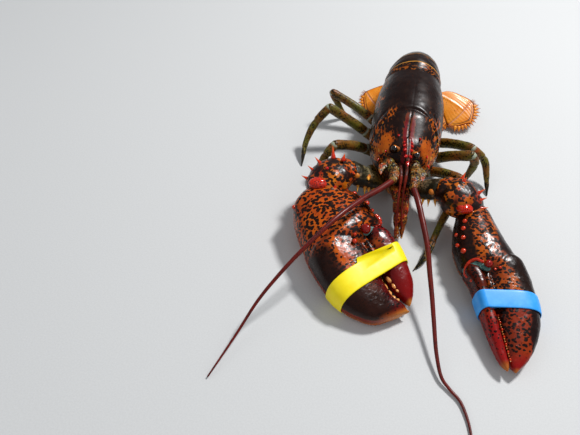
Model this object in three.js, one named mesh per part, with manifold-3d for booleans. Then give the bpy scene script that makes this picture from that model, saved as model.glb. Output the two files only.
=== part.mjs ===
// American lobster, life size, lying on its underside with the tail curled under and rubber claw bands on.
// Millimetres, +Z up, head towards -Y, the animal's left towards +X, the floor at z = 0.
import * as THREE from "three";
import { mergeVertices } from "three/addons/utils/BufferGeometryUtils.js";
import Module from "manifold-3d";

const wasm = await Module();
wasm.setup();

// Driving dimensions
const GAP = 0.3; // clearance between neighbouring pieces
const UP = new THREE.Vector3(0, 0, 1);
const SIDEWAYS = new THREE.Vector3(1, 0, 0);
const CARAPACE_WIDTH = 60;
const TAIL = { y: 60, z: 26, radius: 45, start: -14, end: 98, shift: 12 }; // curl of the abdomen, in degrees
const FAN = { y: 93, z: 20.6, slope: 0.534, x: 12.5, layer: 2.3 }; // plane of the tail fan and step between its plates
const FRINGE = { length: 5, radius: 0.75 }; // pointed teeth round the tail fan
const EYE = { radius: 2.7, left: [8.3, -39.8, 49.9], right: [-9.2, -36.6, 50.4] };
const BAND = { thickness: 1, slack: 0.8, crusherWidth: 15, cutterWidth: 12.6 };
const TAIL_STEPS = [-14, -2.5, 17, 37, 57, 76, 98]; // borders of the six abdominal rings, in degrees

const paint = (color, roughness = 0.35) => new THREE.MeshStandardMaterial({ color, roughness, metalness: 0 });
const SHELL = paint(0x35211a);
const RING = paint(0x3a241a);
const UNDERSIDE = paint(0xc9772c, 0.45);
const FAN_SHELL = paint(0xd87a1e, 0.3);
const CRUSHER = paint(0xb0451c);
const CUTTER = paint(0xa53c1e);
const ARM = paint(0x9c4a22);
const LEG = paint(0x6b6427, 0.4);
const FEELER = paint(0x5e1a1c, 0.4);
const PEDUNCLE = paint(0x8a6a2c, 0.45);
const EYE_BLACK = paint(0x0b0a0c, 0.1);
const YELLOW_RUBBER = paint(0xf5e400, 0.5);
const BLUE_RUBBER = paint(0x3f9fe0, 0.5);

const vec = (list) => new THREE.Vector3(...list);
const clamp01 = (t) => Math.min(1, Math.max(0, t));
const radians = THREE.MathUtils.degToRad;

/** Smooth curve through [place, value] pairs that never swings past them. */
function profile(pairs) {
  const x = pairs.map((pair) => pair[0]);
  const y = pairs.map((pair) => pair[1]);
  const step = x.slice(1).map((end, i) => end - x[i]);
  const rise = step.map((width, i) => (y[i + 1] - y[i]) / width);
  const slope = y.map((_, i) => {
    if (i === 0) return rise[0];
    if (i === rise.length) return rise[i - 1];
    if (rise[i - 1] * rise[i] <= 0) return 0;
    const before = 2 * step[i] + step[i - 1];
    const after = step[i] + 2 * step[i - 1];
    return (before + after) / (before / rise[i - 1] + after / rise[i]);
  });
  return (place) => {
    let i = 0;
    while (i < step.length - 1 && place > x[i + 1]) i++;
    const t = clamp01((place - x[i]) / step[i]);
    const s = t * t * (3 - 2 * t);
    const bend = t * (1 - t) * step[i];
    return y[i] * (1 - s) + y[i + 1] * s + bend * (slope[i] * (1 - t) - slope[i + 1] * t);
  };
}

/** The closed surface of a geometry as a manifold, turned so that it faces out. */
function solidOf(geometry) {
  geometry.deleteAttribute("normal");
  geometry.deleteAttribute("uv");
  const merged = mergeVertices(geometry, 1e-4);
  const at = merged.attributes.position.array;
  const faces = new Uint32Array(merged.index.array);
  let volume = 0;
  for (let i = 0; i < faces.length; i += 3) {
    const [a, b, c] = [0, 1, 2].map((k) => new THREE.Vector3().fromArray(at, 3 * faces[i + k]));
    volume += a.dot(b.cross(c));
  }
  if (volume < 0) {
    for (let i = 0; i < faces.length; i += 3) [faces[i + 1], faces[i + 2]] = [faces[i + 2], faces[i + 1]];
  }
  return new wasm.Manifold(new wasm.Mesh({ numProp: 3, vertProperties: new Float32Array(at), triVerts: faces }));
}

/** Closed body whose rows of points run from one end pole (row 0) to the other (row rows + 1). */
function loft(rows, sides, place) {
  const sheet = new THREE.SphereGeometry(1, sides, rows + 1);
  const at = sheet.attributes.position;
  for (let row = 0; row <= rows + 1; row++) {
    for (let side = 0; side <= sides; side++) {
      const point = place(row, (2 * Math.PI * (side % sides)) / sides);
      at.setXYZ(row * (sides + 1) + side, point.x, point.y, point.z);
    }
  }
  return solidOf(sheet);
}

/** Closed ring with a four-cornered section, its corners placed by place(angle, corner). */
function ring(sides, place) {
  const sheet = new THREE.TorusGeometry(1, 0.5, 4, sides);
  const at = sheet.attributes.position;
  for (let corner = 0; corner <= 4; corner++) {
    for (let side = 0; side <= sides; side++) {
      const point = place((2 * Math.PI * (side % sides)) / sides, corner % 4);
      at.setXYZ(corner * (sides + 1) + side, point.x, point.y, point.z);
    }
  }
  return solidOf(sheet);
}

/** A point of a rounded-square section: power 2 is an ellipse, more is squarer. */
function squircle(angle, power) {
  const bulge = (value) => Math.sign(value) * Math.pow(Math.abs(value), 2 / power);
  return [bulge(Math.cos(angle)), bulge(Math.sin(angle))];
}

/**
 * Round-ended limb along a smooth curve. radii pairs give its half width along the curve from 0 to 1,
 * flat its depth over its width, caps how far each end bulges, and grow thickens it all over.
 */
function limb({ points, radii, rows = 6, sides = 8, flat = 1, caps = [0.8, 0.8], power = 2, up = UP, grow = 0 }) {
  const curve = new THREE.CatmullRomCurve3(points.map(vec), false, "centripetal");
  const width = profile(radii);
  const ends = [0, 45].map(radians);
  const stations = [
    ...ends.map((a) => ({ t: 0, slide: -Math.cos(a) * caps[0], scale: Math.sin(a) })),
    ...Array.from({ length: rows + 1 }, (_, i) => ({ t: i / rows, slide: 0, scale: 1 })),
    ...ends.reverse().map((a) => ({ t: 1, slide: Math.cos(a) * caps[1], scale: Math.sin(a) })),
  ];
  return loft(stations.length - 2, sides, (row, angle) => {
    const { t, slide, scale } = stations[row];
    const along = curve.getTangentAt(t);
    const side = new THREE.Vector3().crossVectors(along, up).normalize();
    const lift = new THREE.Vector3().crossVectors(side, along);
    const radius = width(t) + grow;
    const [a, b] = squircle(angle, power);
    return curve
      .getPointAt(t)
      .addScaledVector(along, slide * radius)
      .addScaledVector(side, a * radius * scale)
      .addScaledVector(lift, b * (width(t) * flat + grow) * scale);
  });
}

/** Pointed spine with its root sunk in what it grows from. */
function spine(root, tip, radius, sides = 5) {
  const from = vec(root);
  const run = vec(tip).sub(from);
  const cone = new THREE.ConeGeometry(radius, run.length(), sides, 1).translate(0, run.length() / 2, 0);
  cone.applyQuaternion(new THREE.Quaternion().setFromUnitVectors(new THREE.Vector3(0, 1, 0), run.clone().normalize()));
  return solidOf(cone.translate(from.x, from.y, from.z));
}

/** Rounded bead, by default a small one of few faces. */
function bead(centre, radius, stretch = [1, 1, 1], turn = 0, detail = [7, 5]) {
  const ball = new THREE.SphereGeometry(radius, ...detail).rotateX(Math.PI / 2).scale(...stretch).rotateZ(turn);
  return solidOf(ball.translate(...centre));
}

const BELOW_FLOOR = solidOf(new THREE.BoxGeometry(800, 800, 60).translate(0, 0, -30)); // wider than the animal
const union = (pieces) => pieces.reduce((whole, piece) => whole.add(piece));
const offFloor = (solid) => solid.subtract(BELOW_FLOOR);

/** The largest closed surface of a solid. */
function largest(solid) {
  return solid.decompose().reduce((best, piece) => (piece.volume() > best.volume() ? piece : best));
}

const lobster = new THREE.Group();

/** Adds one named mesh, cut back from the grown shapes of the pieces it meets. */
function add(name, solid, material, neighbours = []) {
  const kept = largest(offFloor(neighbours.reduce((left, shape) => left.subtract(shape), solid)));
  const mesh = kept.getMesh();
  const geometry = new THREE.BufferGeometry();
  geometry.setAttribute("position", new THREE.BufferAttribute(new Float32Array(mesh.vertProperties), 3));
  geometry.setIndex(new THREE.BufferAttribute(new Uint32Array(mesh.triVerts), 1));
  geometry.computeVertexNormals();
  const part = new THREE.Mesh(geometry, material);
  part.name = name;
  lobster.add(part);
}

// Carapace: values along the body, from the front of the head back to the first ring of the tail
const HEAD_FRONT = -50;
const CARAPACE_REAR = 62;
const roofHeight = profile([
  [HEAD_FRONT, 27], [-46, 34], [-42, 40], [-39, 46.5], [-36, 51], [-32, 53.3], [-24, 55.8], [-15, 59.3], [-6, 62.6],
  [0, 63.8], [8, 65.4], [20, 67.4], [34, 68.8], [47, 68.6], [CARAPACE_REAR, 66],
]);
const halfWidth = profile([
  [HEAD_FRONT, 8], [-47, 13], [-42, 18], [-36, 22], [-28, 25.4], [-18, 28], [-5, 29.5], [12, CARAPACE_WIDTH / 2],
  [30, 29.8], [41, 28.6], [50, 27], [CARAPACE_REAR, 24.5],
]);
const brimHeight = profile([[HEAD_FRONT, 25], [-42, 30], [-30, 32], [-10, 34], [20, 35.5], [CARAPACE_REAR, 38]]);
const edgeHeight = profile([
  [HEAD_FRONT, 22], [-42, 21.5], [-30, 19], [-15, 17], [10, 16.5], [30, 18], [CARAPACE_REAR, 24],
]);
const midline = profile([[HEAD_FRONT, 0], [-30, 0], [40, 1.8], [CARAPACE_REAR, 1.9]]);
const CARAPACE_ROWS = [
  HEAD_FRONT, -49.4, -47.5, -44, -40, -36.5, -31, -24, -16, -9, -5, -2.4, 0, 2.4, 6, 13, 21, 30, 38, 47, 55,
  CARAPACE_REAR, CARAPACE_REAR,
];
const nearGroove = profile([[HEAD_FRONT, 0], [-24, 0.75], [0, 1], [30, 0.5], [CARAPACE_REAR, 0]]);
const GROOVE = { depth: 1.3, width: 2.4, sweep: 21 }; // cervical groove, running forward down each side

function carapace(grow = 0) {
  const ends = CARAPACE_ROWS.length - 1;
  return loft(CARAPACE_ROWS.length - 2, 24, (row, angle) => {
    const rowPlace = CARAPACE_ROWS[row];
    const isPole = row === 0 || row === ends;
    const [a, b] = squircle(angle, sectionPower(angle));
    const sweep = GROOVE.sweep * Math.pow(Math.abs(Math.cos(angle)), 2.2) * nearGroove(rowPlace);
    const y = rowPlace - sweep;
    const dip = Math.sin(angle) > -0.2 ? GROOVE.depth * Math.exp(-((rowPlace / GROOVE.width) ** 2)) : 0;
    const round = row === 1 ? 0.6 : 1;
    const scale = isPole ? 0 : round;
    const wide = halfWidth(y) + grow - dip;
    const tall = (b > 0 ? roofHeight(y) - brimHeight(y) - dip : brimHeight(y) - edgeHeight(y)) + grow;
    const push = row === 0 ? -grow : 0;
    return new THREE.Vector3(midline(y) + a * wide * scale, y + push, brimHeight(y) + b * tall * scale);
  });
}

/** Squareness of the carapace section: round over the back, fuller below the brim. */
function sectionPower(angle) {
  return Math.sin(angle) > 0 ? 2.15 : 2.8;
}

// Curl of the tail
function tailFrame(degrees) {
  const a = radians(degrees);
  const share = clamp01((degrees - TAIL.start) / (TAIL.end - TAIL.start));
  return {
    share,
    x: 1.9 + (TAIL.shift - 1.9) * share * share,
    out: new THREE.Vector3(0, Math.sin(a), Math.cos(a)),
    along: new THREE.Vector3(0, Math.cos(a), -Math.sin(a)),
  };
}

const ringWidth = profile([[0, 25], [0.12, 23.6], [0.35, 22], [0.7, 19.4], [1, 17]]);
const ringDepth = profile([[0, 30], [0.4, 26.5], [0.7, 22], [1, 17]]);
const VAULT = 0.84; // share of a ring's depth that arches over its widest place

/** Point of the tail at a curl angle: across and outward offsets from the middle of its section. */
function tailPoint(degrees, slide, across, outward) {
  const { x, out, along } = tailFrame(degrees);
  return new THREE.Vector3(x + across, TAIL.y, TAIL.z).addScaledVector(out, outward).addScaledVector(along, slide);
}

function abdomenRing(from, to, hasLobes) {
  const flare = 0.9;
  const places = [
    { at: from, slide: GAP / 2, swell: 0, pole: true },
    { at: from, slide: GAP / 2, swell: -0.7 },
    { at: from + (to - from) * 0.6, slide: 0, swell: flare * 0.4 },
    { at: to, slide: -GAP / 2, swell: flare },
    { at: to, slide: -GAP / 2, swell: flare, pole: true },
  ];
  const body = loft(places.length - 2, 20, (row, angle) => {
    const { at, slide, swell, pole } = places[row];
    const { share } = tailFrame(at);
    const [a, b] = squircle(angle, Math.sin(angle) > 0 ? 1.9 : 3);
    const scale = pole ? 0 : 1;
    const depth = ringDepth(share);
    const middle = TAIL.radius - depth * VAULT;
    const reach = b > 0 ? depth * VAULT + swell : depth * (1 - VAULT);
    return tailPoint(at, slide, a * (ringWidth(share) + swell) * scale, middle + b * reach * scale);
  });
  const flaps = hasLobes ? [-1, 1].map((side) => pleuron(from, to, side)) : [];
  return union([body, ...flaps]);
}

/** Pointed side lobe of one ring, hanging towards the underside and back. */
function pleuron(from, to, side) {
  const at = from + (to - from) * 0.52;
  const { share } = tailFrame(at);
  const width = ringWidth(share);
  const depth = ringDepth(share);
  const reach = profile([[0, 3.6], [0.6, 2.8], [1, 0.6]]);
  const start = tailPoint(at, -0.4, side * (width - 2.6), TAIL.radius - depth * 0.66);
  const middle = tailPoint(at, 0.6, side * (width - 0.8), TAIL.radius - depth * 0.88);
  const tip = tailPoint(at, 1.6, side * (width - 1.6), TAIL.radius - depth - 5);
  return limb({
    points: [start.toArray(), middle.toArray(), tip.toArray()],
    radii: [0, 0.3, 0.6, 0.8, 1].map((t) => [t, reach(t)]),
    rows: 3, sides: 6, flat: 0.34, caps: [0.3, 0.6], up: new THREE.Vector3(side, 0, 0),
  });
}

// Tail fan: a plane that leans forward and down from the last ring to the floor
const FAN_RUN = Math.hypot(1, FAN.slope);
function fanPoint(x, down, lift) {
  return new THREE.Vector3(
    x,
    FAN.y - down / FAN_RUN - (lift * FAN.slope) / FAN_RUN,
    FAN.z - (down * FAN.slope) / FAN_RUN + lift / FAN_RUN,
  );
}

/**
 * Plate of the fan. root is [x, down] on the fan's plane, heading the direction of its axis in degrees from +x,
 * outer and inner its margins on each side of that axis.
 */
function fanPlate({ root, heading, length, outer, inner, layer, thick, mirror = 1, rows = 9, sides = 10, grow = 0 }) {
  const a = radians(heading);
  const axis = [Math.cos(a), Math.sin(a)];
  const cross = [Math.sin(a) * mirror, -Math.cos(a) * mirror];
  return loft(rows, sides, (row, angle) => {
    const t = 0.5 - 0.5 * Math.cos((Math.PI * row) / (rows + 1));
    const u = length * t + (t < 0.5 ? -grow : grow);
    const isPole = row === 0 || row === rows + 1;
    const [c, s] = squircle(angle, 2);
    const high = outer(t);
    const low = inner(t);
    const w = (high + low) / 2 + ((isPole ? 0 : 1) * c * ((high - low) / 2 + grow));
    const lift = layer + (isPole ? 0 : s * (thick(t) / 2 + grow));
    return fanPoint(root[0] + axis[0] * u + cross[0] * w, root[1] + axis[1] * u + cross[1] * w, lift);
  });
}

/** Pointed teeth set along the far edge of a fan plate, in its own middle plane. */
function fringe({ root, heading, length, outer, inner, layer, mirror = 1 }, teeth) {
  const a = radians(heading);
  const place = (u, w) => fanPoint(
    root[0] + Math.cos(a) * u + Math.sin(a) * w * mirror, root[1] + Math.sin(a) * u - Math.cos(a) * w * mirror, layer,
  );
  return Array.from({ length: teeth }, (_, i) => {
    const swing = radians(-58 + (116 * i) / (teeth - 1));
    const t = 0.9 + 0.07 * Math.cos(swing);
    const middle = (outer(t) + inner(t)) / 2;
    const half = (outer(t) - inner(t)) / 2;
    const w = middle + half * Math.sin(swing) * 0.9;
    const reach = length * (0.86 + 0.1 * Math.cos(swing)) + FRINGE.length * (0.9 + 0.2 * (i % 2));
    const from = place(length * (0.83 + 0.1 * Math.cos(swing)), w * 0.93);
    return spine(from.toArray(), place(reach, w + Math.sin(swing) * 3).toArray(), FRINGE.radius, 3);
  });
}

const PLATE_THICK = profile([[0, 2.6], [0.3, 2], [1, 1.5]]);
const SIDE_BLADE = {
  length: 46,
  outer: profile([[0, 2], [0.1, 5.5], [0.2, 11.5], [0.4, 16.6], [0.7, 20], [0.85, 17.5], [0.95, 11.5], [1, 2]]),
  inner: profile([[0, -2], [0.1, -4], [0.45, -8.6], [0.7, -14], [0.85, -12.5], [0.95, -7], [1, 0]]),
};
const INNER_BLADE = {
  length: 40,
  outer: profile([[0, 2], [0.15, 7], [0.5, 12], [0.8, 13], [0.93, 9.5], [1, 2]]),
  inner: profile([[0, -2], [0.15, -4], [0.5, -9], [0.8, -11.5], [0.93, -8], [1, 0]]),
};
const TELSON = {
  length: 40,
  outer: profile([[0, 9], [0.12, 12.5], [0.5, 13.2], [0.85, 12], [0.95, 9], [1, 3]]),
};

// Claws: local places run s along the claw from the wrist, p outward from its axis, z up from the floor
const CRUSHER_FRAME = { wrist: [-59.9, -73.4], along: [0.661, -0.751], outward: [-0.751, -0.661] };
const CUTTER_FRAME = { wrist: [56.8, -65.6], along: [0.2316, -0.973], outward: [0.973, 0.2316] };

function clawPoint(frame, s, p, z) {
  const { wrist, along, outward } = frame;
  return new THREE.Vector3(wrist[0] + along[0] * s + outward[0] * p, wrist[1] + along[1] * s + outward[1] * p, z);
}

/** Flattened, round-ended body of a claw between s = from and s = to. */
function clawLoft({ frame, from, to, round, outer, inner, top, bottom, edge, power = 2.2, rows, sides, grow = 0 }) {
  return loft(rows, sides, (row, angle) => {
    const share = 0.5 - 0.5 * Math.cos((Math.PI * row) / (rows + 1));
    const s = from + (to - from) * share;
    const isPole = row === 0 || row === rows + 1;
    const near = clamp01((s - from) / round[0]);
    const far = clamp01((to - s) / round[1]);
    const swell = (d) => Math.sqrt(1 - (1 - d) * (1 - d));
    const scale = isPole ? 0 : swell(near) * swell(far);
    const extra = isPole ? 0 : grow;
    const [c, d] = squircle(angle, power);
    const p = (outer(s) + inner(s)) / 2 + c * ((scale * (outer(s) - inner(s))) / 2 + extra);
    const high = scale * (top(s) - edge(s)) + extra;
    const low = scale * (edge(s) - bottom(s)) + extra;
    const push = row === 0 ? -grow : row === rows + 1 ? grow : 0;
    return clawPoint(frame, s + push, p, edge(s) + d * (d > 0 ? high : low));
  });
}

const CRUSHER_CLAW = {
  frame: CRUSHER_FRAME,
  palm: {
    from: -7, to: 62, round: [9, 12], rows: 11, sides: 22,
    outer: profile([[-7, 17], [5, 28], [21, 34.6], [35, 38], [50, 41], [62, 41.8]]),
    inner: profile([[-7, -7], [5, -15], [13, -22.5], [25, -27.5], [34, -27], [44, -26.5], [52, -21.5], [62, -18]]),
    top: profile([[-7, 34], [8, 38], [28, 39], [45, 37], [62, 32]]),
    bottom: profile([[-7, 18], [4, 7], [12, -0.8], [42, -0.8], [52, 2.3], [62, 2.6]]),
    edge: profile([[-7, 27], [15, 19], [35, 15], [62, 13]]),
  },
  finger: {
    from: 38, to: 113, round: [10, 7], rows: 10, sides: 16,
    outer: profile([
      [38, 38], [50, 41], [68, 42.3], [80, 41.5], [89, 39], [100, 32.5], [108, 24], [111.5, 12], [113, -3],
    ]),
    inner: profile([[38, 2], [55, -2], [72, -1.5], [84, 2.2], [98, 2.4], [106, -1], [113, -6]]),
    top: profile([[38, 33], [62, 30], [80, 25.5], [96, 20], [108, 15], [114, 11]]),
    bottom: profile([[38, 6], [50, 2.6], [88, 2.4], [93, -0.6], [106, -0.6], [114, 4]]),
    edge: profile([[38, 15], [70, 12], [100, 9], [114, 8]]),
  },
  dactyl: {
    from: 44, to: 110, round: [9, 6], rows: 9, sides: 12,
    outer: profile([[44, -5], [55, -3], [72, -2.4], [80, -1.6], [88, -1], [96, -1.4], [104, -2.8], [110, -4.5]]),
    inner: profile([
      [44, -17], [52, -22.5], [60, -24.6], [68, -24.6], [80, -22.8], [94, -18.8], [102, -14], [107, -9.5], [110, -6],
    ]),
    top: profile([[44, 29], [55, 30], [70, 26.5], [90, 20.5], [104, 14.5], [110, 11]]),
    bottom: profile([[44, 10], [60, 6], [90, 3.5], [104, 4.5], [110, 6]]),
    edge: profile([[44, 19], [60, 17], [90, 12], [110, 8.5]]),
  },
  palmBeads: [
    [9, -17, 1.6], [14.5, -21.5, 1.9], [25.5, -26, 2], [33, -25.6, 1.7], [43.5, -24, 3], [51.9, -4.4, 3.6],
    [53.3, 6.6, 1.3], [57.5, 9.5, 1.7], [4, 27, 1.6],
  ],
  fingerTeeth: [[84, 1.9], [90, 2.1], [96, 1.9], [101.5, 1.4]],
  dactylTeeth: [[87, 1.5], [93, 1.5], [98.5, 1.2]],
  band: { middle: 77.6, slant: 0.1, width: BAND.crusherWidth },
};
const CUTTER_CLAW = {
  frame: CUTTER_FRAME,
  palm: {
    from: -6, to: 64, round: [8, 12], rows: 11, sides: 20,
    outer: profile([[-6, 6], [1, 11.2], [22, 17.4], [40, 23], [53, 27.6], [64, 29.9]]),
    inner: profile([[-6, -8], [4, -12.2], [22, -17.9], [33, -19.6], [52, -18.4], [64, -13.5]]),
    top: profile([[-6, 34], [8, 35], [25, 34.5], [45, 32.5], [64, 29]]),
    bottom: profile([[-6, 19], [4, 9], [13, -0.8], [42, -0.8], [52, 2.3], [64, 2.6]]),
    edge: profile([[-6, 27], [15, 19], [35, 15], [64, 13]]),
  },
  finger: {
    from: 40, to: 127, round: [10, 7], rows: 10, sides: 14,
    outer: profile([[40, 22.5], [53, 27.6], [66, 29.6], [81, 29.6], [94, 27.4], [106, 22], [118, 13], [127, 3]]),
    inner: profile([[40, 0], [55, -3.6], [70, -2.9], [87, -2], [110, -1.8], [122, -1.4], [127, -0.5]]),
    top: profile([[40, 30], [64, 26.5], [84, 22.5], [104, 17.5], [120, 12.5], [127, 10]]),
    bottom: profile([[40, 6], [52, 2.6], [88, 2.4], [95, -0.6], [116, -0.6], [127, 5]]),
    edge: profile([[40, 15], [70, 12], [105, 9], [127, 7.5]]),
  },
  dactyl: {
    from: 46, to: 126, round: [9, 6], rows: 9, sides: 12,
    outer: profile([[46, -7], [56, -5], [72, -4], [88, -3], [110, -2.7], [120, -2.6], [126, -3.2]]),
    inner: profile([[46, -15], [53, -18], [63, -14.6], [73, -13.4], [82, -12.7], [101, -11.2], [116, -9], [126, -5.2]]),
    top: profile([[46, 26], [56, 26.5], [75, 23], [100, 17.5], [118, 12.5], [126, 10]]),
    bottom: profile([[46, 10], [60, 6.5], [90, 4], [118, 4.5], [126, 6]]),
    edge: profile([[46, 18], [60, 16], [90, 12], [126, 8]]),
  },
  palmBeads: [
    [16.2, -11, 1.7], [22, -13.1, 1.7], [29.5, -14.8, 1.7], [39.5, -16.3, 1.9], [23.2, -17.1, 1.5], [32.3, -18.3, 1.6],
    [54.6, -3.2, 2.7], [58.2, 3.8, 1.2],
  ],
  fingerTeeth: [[91, 1.2], [98, 1], [105, 1.2], [112, 1]],
  dactylTeeth: [],
  band: { middle: 79.5, slant: 0.1, width: BAND.cutterWidth },
};

/** Point of a finger's section at s that touches a line facing along normal, and how far out that line lies. */
function sectionTouch({ outer, inner, top, bottom, edge }, s, normal, power = 2.2) {
  const centre = [(outer(s) + inner(s)) / 2, edge(s)];
  const reach = [(outer(s) - inner(s)) / 2, normal[1] > 0 ? top(s) - edge(s) : edge(s) - bottom(s)];
  const pull = reach.map((half, i) => half * Math.abs(normal[i]));
  const dual = power / (power - 1);
  const total = Math.pow(Math.pow(pull[0], dual) + Math.pow(pull[1], dual), 1 / dual);
  const touch = centre.map((at, i) => at + Math.sign(normal[i]) * reach[i] * Math.pow(pull[i] / total, dual - 1));
  return { touch, support: touch[0] * normal[0] + touch[1] * normal[1] };
}

/** Point on the upper surface of one claw piece: s along the claw, p across it, sunk by a depth. */
function onClaw(frame, { outer, inner, top, edge }, s, p, sunk = 0) {
  const half = (outer(s) - inner(s)) / 2;
  const across = Math.min(0.97, Math.abs(p - (outer(s) + inner(s)) / 2) / half);
  const rise = Math.pow(1 - Math.pow(across, 2.2), 1 / 2.2);
  return clawPoint(frame, s, p, edge(s) + rise * (top(s) - edge(s)) - sunk);
}

/** Low round beads given as [s, p, radius], half sunk in one claw piece. */
function clawBeads(frame, piece, places) {
  return places.map(([s, p, radius]) => {
    const centre = onClaw(frame, piece, s, p, radius * 0.35);
    return bead(centre.toArray(), radius, [1, 1, 1], 0, [5, 4]);
  });
}

/** Teeth along the slot between the fingers, given as [s, radius], on the margin of one piece, grown by grow. */
function slotTeeth(frame, piece, margin, inward, places, grow = 0) {
  return places.map(([s, radius]) => {
    const centre = clawPoint(frame, s, piece[margin](s) + inward * radius * 0.3, piece.edge(s) + 1.5);
    return bead(centre.toArray(), radius + grow, [1, 1, 0.8], 0, [5, 4]);
  });
}

/** Rubber band stretched over both fingers, so that it runs straight across the slot between them. */
function clawBand({ frame, finger, dactyl, band }) {
  return ring(32, (angle, corner) => {
    const offset = BAND.slack + (corner === 1 || corner === 2 ? BAND.thickness : 0);
    const border = corner < 2 ? -band.width / 2 : band.width / 2;
    const normal = [Math.cos(angle), Math.sin(angle)];
    const place = (p) => band.middle + band.slant * p + border;
    let p = 0;
    let z = 0;
    for (let pass = 0; pass < 4; pass++) {
      const { touch } = [finger, dactyl]
        .map((piece) => sectionTouch(piece, place(p), normal))
        .reduce((best, next) => (next.support > best.support ? next : best));
      [p, z] = touch.map((at, i) => at + normal[i] * offset);
    }
    return clawPoint(frame, place(p), p, z);
  });
}

// Arms: each list runs from the body outward
const RIGHT_ARM = {
  base: { points: [[-9, -31, 13], [-12.5, -36, 14], [-16.5, -42, 17]], radii: [[0, 6], [0.6, 6.8], [1, 7.2]] },
  merus: {
    points: [[-16, -42.5, 17.5], [-27, -46, 23], [-38, -49, 29.5]],
    radii: [[0, 7], [0.4, 8.6], [1, 9.6]],
  },
  carpus: {
    points: [[-43, -50.5, 31], [-52, -58, 30.5], [-60, -71, 29.5]],
    radii: [[0, 11], [0.3, 15], [0.7, 16], [1, 13.5]],
  },
};
const LEFT_ARM = {
  base: { points: [[9, -31, 13], [12, -36, 14], [15, -42, 17]], radii: [[0, 6], [0.6, 6.8], [1, 7]] },
  merus: {
    points: [[15, -43.5, 17.5], [23, -48.5, 23.5], [31, -52.5, 30]],
    radii: [[0, 6.8], [0.4, 8.4], [1, 9.2]],
  },
  carpus: {
    points: [[36, -55, 32], [45, -60, 31.5], [54, -65.5, 29]],
    radii: [[0, 11.5], [0.35, 16], [0.75, 15.5], [1, 12.5]],
  },
};
const ARM_SPINES = {
  right_merus: [
    [[-32.6, -52, 25], [-32.2, -57.4, 22.4]], [[-26.8, -51, 22.4], [-26.2, -56.4, 19.6]],
    [[-23.6, -50, 21], [-23, -55, 18.4]], [[-19.8, -48.4, 19], [-19, -53.4, 16.4]],
  ],
  left_merus: [
    [[17.5, -49, 19], [16.8, -54.2, 16.2]], [[21, -51.4, 21], [20.6, -56.8, 18.2]],
    [[24.6, -53.6, 23.6], [24.6, -59.2, 21]], [[28.6, -56, 26.4], [29.2, -61.4, 24]],
  ],
  right_carpus: [
    [[-55, -48, 41], [-57, -41, 47.4]], [[-63, -56, 39], [-69.4, -52, 42.4]],
    [[-67, -62, 36], [-73.6, -59, 38.6]], [[-70.5, -68.4, 33], [-77, -67, 34.6]],
    [[-47, -52, 44], [-46.6, -49, 48.2]], [[-38.6, -56.4, 36], [-35.4, -59.6, 38]],
  ],
  left_carpus: [
    [[45, -51.4, 42], [46.8, -47.4, 47.4]], [[46, -55, 44], [47.4, -54, 48]], [[58, -59.4, 38], [63, -57, 42]],
    [[59, -65, 36], [64.8, -63.4, 39.6]], [[60.6, -70, 33], [66.8, -69.4, 35.2]], [[31, -58, 33], [27.6, -61.4, 34.6]],
  ],
};
const SPINE_RADIUS = 1.7;
const CONDYLES = {
  right: { centre: [-62.6, -75.2, 37], radius: 5, stretch: [1.5, 1.1, 0.85], turn: 0.12 },
  left: { centre: [48.7, -74, 35.2], radius: 4.3, stretch: [1.45, 1, 0.85], turn: -0.1 },
};
const armPiece = (piece, options) => limb({ ...piece, sides: 12, rows: 4, flat: 0.86, ...options });

// Walking legs: the knee divides each into its raised upper length and the lower length that meets the floor
const LEGS = {
  right_leg_2: {
    upper: [[-13.5, -15, 9], [-24, -22, 10.5], [-36, -35, 13.5], [-45, -43, 16]],
    lower: [[-45, -43, 16], [-45.5, -50, 11], [-41.5, -58, 5.5], [-36, -65.5, 0.5]], thick: 3.4,
  },
  right_leg_3: {
    upper: [[-14, 1, 9], [-27, 0.5, 13], [-41, -10, 24], [-56.4, -23, 33]],
    lower: [[-56.4, -23, 33], [-61.8, -27.7, 25], [-68, -34, 10], [-72, -39.5, 0.5]], thick: 4,
  },
  right_leg_4: {
    upper: [[-14, 17, 9], [-27, 21, 12.5], [-45, 19.5, 25], [-66.9, 17.6, 39]],
    lower: [[-66.9, 17.6, 39], [-76.9, 11, 25], [-82.5, 0.6, 12], [-82.6, -20, 0.5]], thick: 4,
  },
  right_leg_5: {
    upper: [[-13, 33, 9], [-26, 42, 12.5], [-45, 47, 22], [-67.5, 49.4, 32]],
    lower: [[-67.5, 49.4, 32], [-63.5, 51, 23], [-57, 54, 10], [-50, 57, 0.5]], thick: 3.6,
  },
  left_leg_2: {
    upper: [[13.5, -15, 9], [26, -14, 12], [38, -20, 18], [50, -28, 22]],
    lower: [[50, -28, 22], [48, -41, 16], [38, -68, 12.5], [26, -102, 5], [19, -114, 0.5]], thick: 4,
  },
  left_leg_3: {
    upper: [[14, 1, 9], [28, 2, 13], [41, -4, 24], [56.4, -11.1, 34]],
    lower: [[56.4, -11.1, 34], [60.3, -10.9, 27], [59, -10.4, 12], [57.6, -7.9, 0.5]], thick: 4.2,
  },
  left_leg_4: {
    upper: [[14, 17, 9], [30, 23, 13], [45, 14, 23], [58.2, 3.3, 30]],
    lower: [[58.2, 3.3, 30], [71, 1.5, 20], [76, -7.7, 8], [77.9, -20, 0.5]], thick: 4,
  },
  left_leg_5: {
    upper: [[13, 33, 9], [20, 38, 12.5], [26, 45, 16], [30, 52, 18]],
    lower: [[30, 52, 18], [33, 50, 12], [34, 45, 5], [32, 39, 0.5]], thick: 3.2,
  },
};

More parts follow.
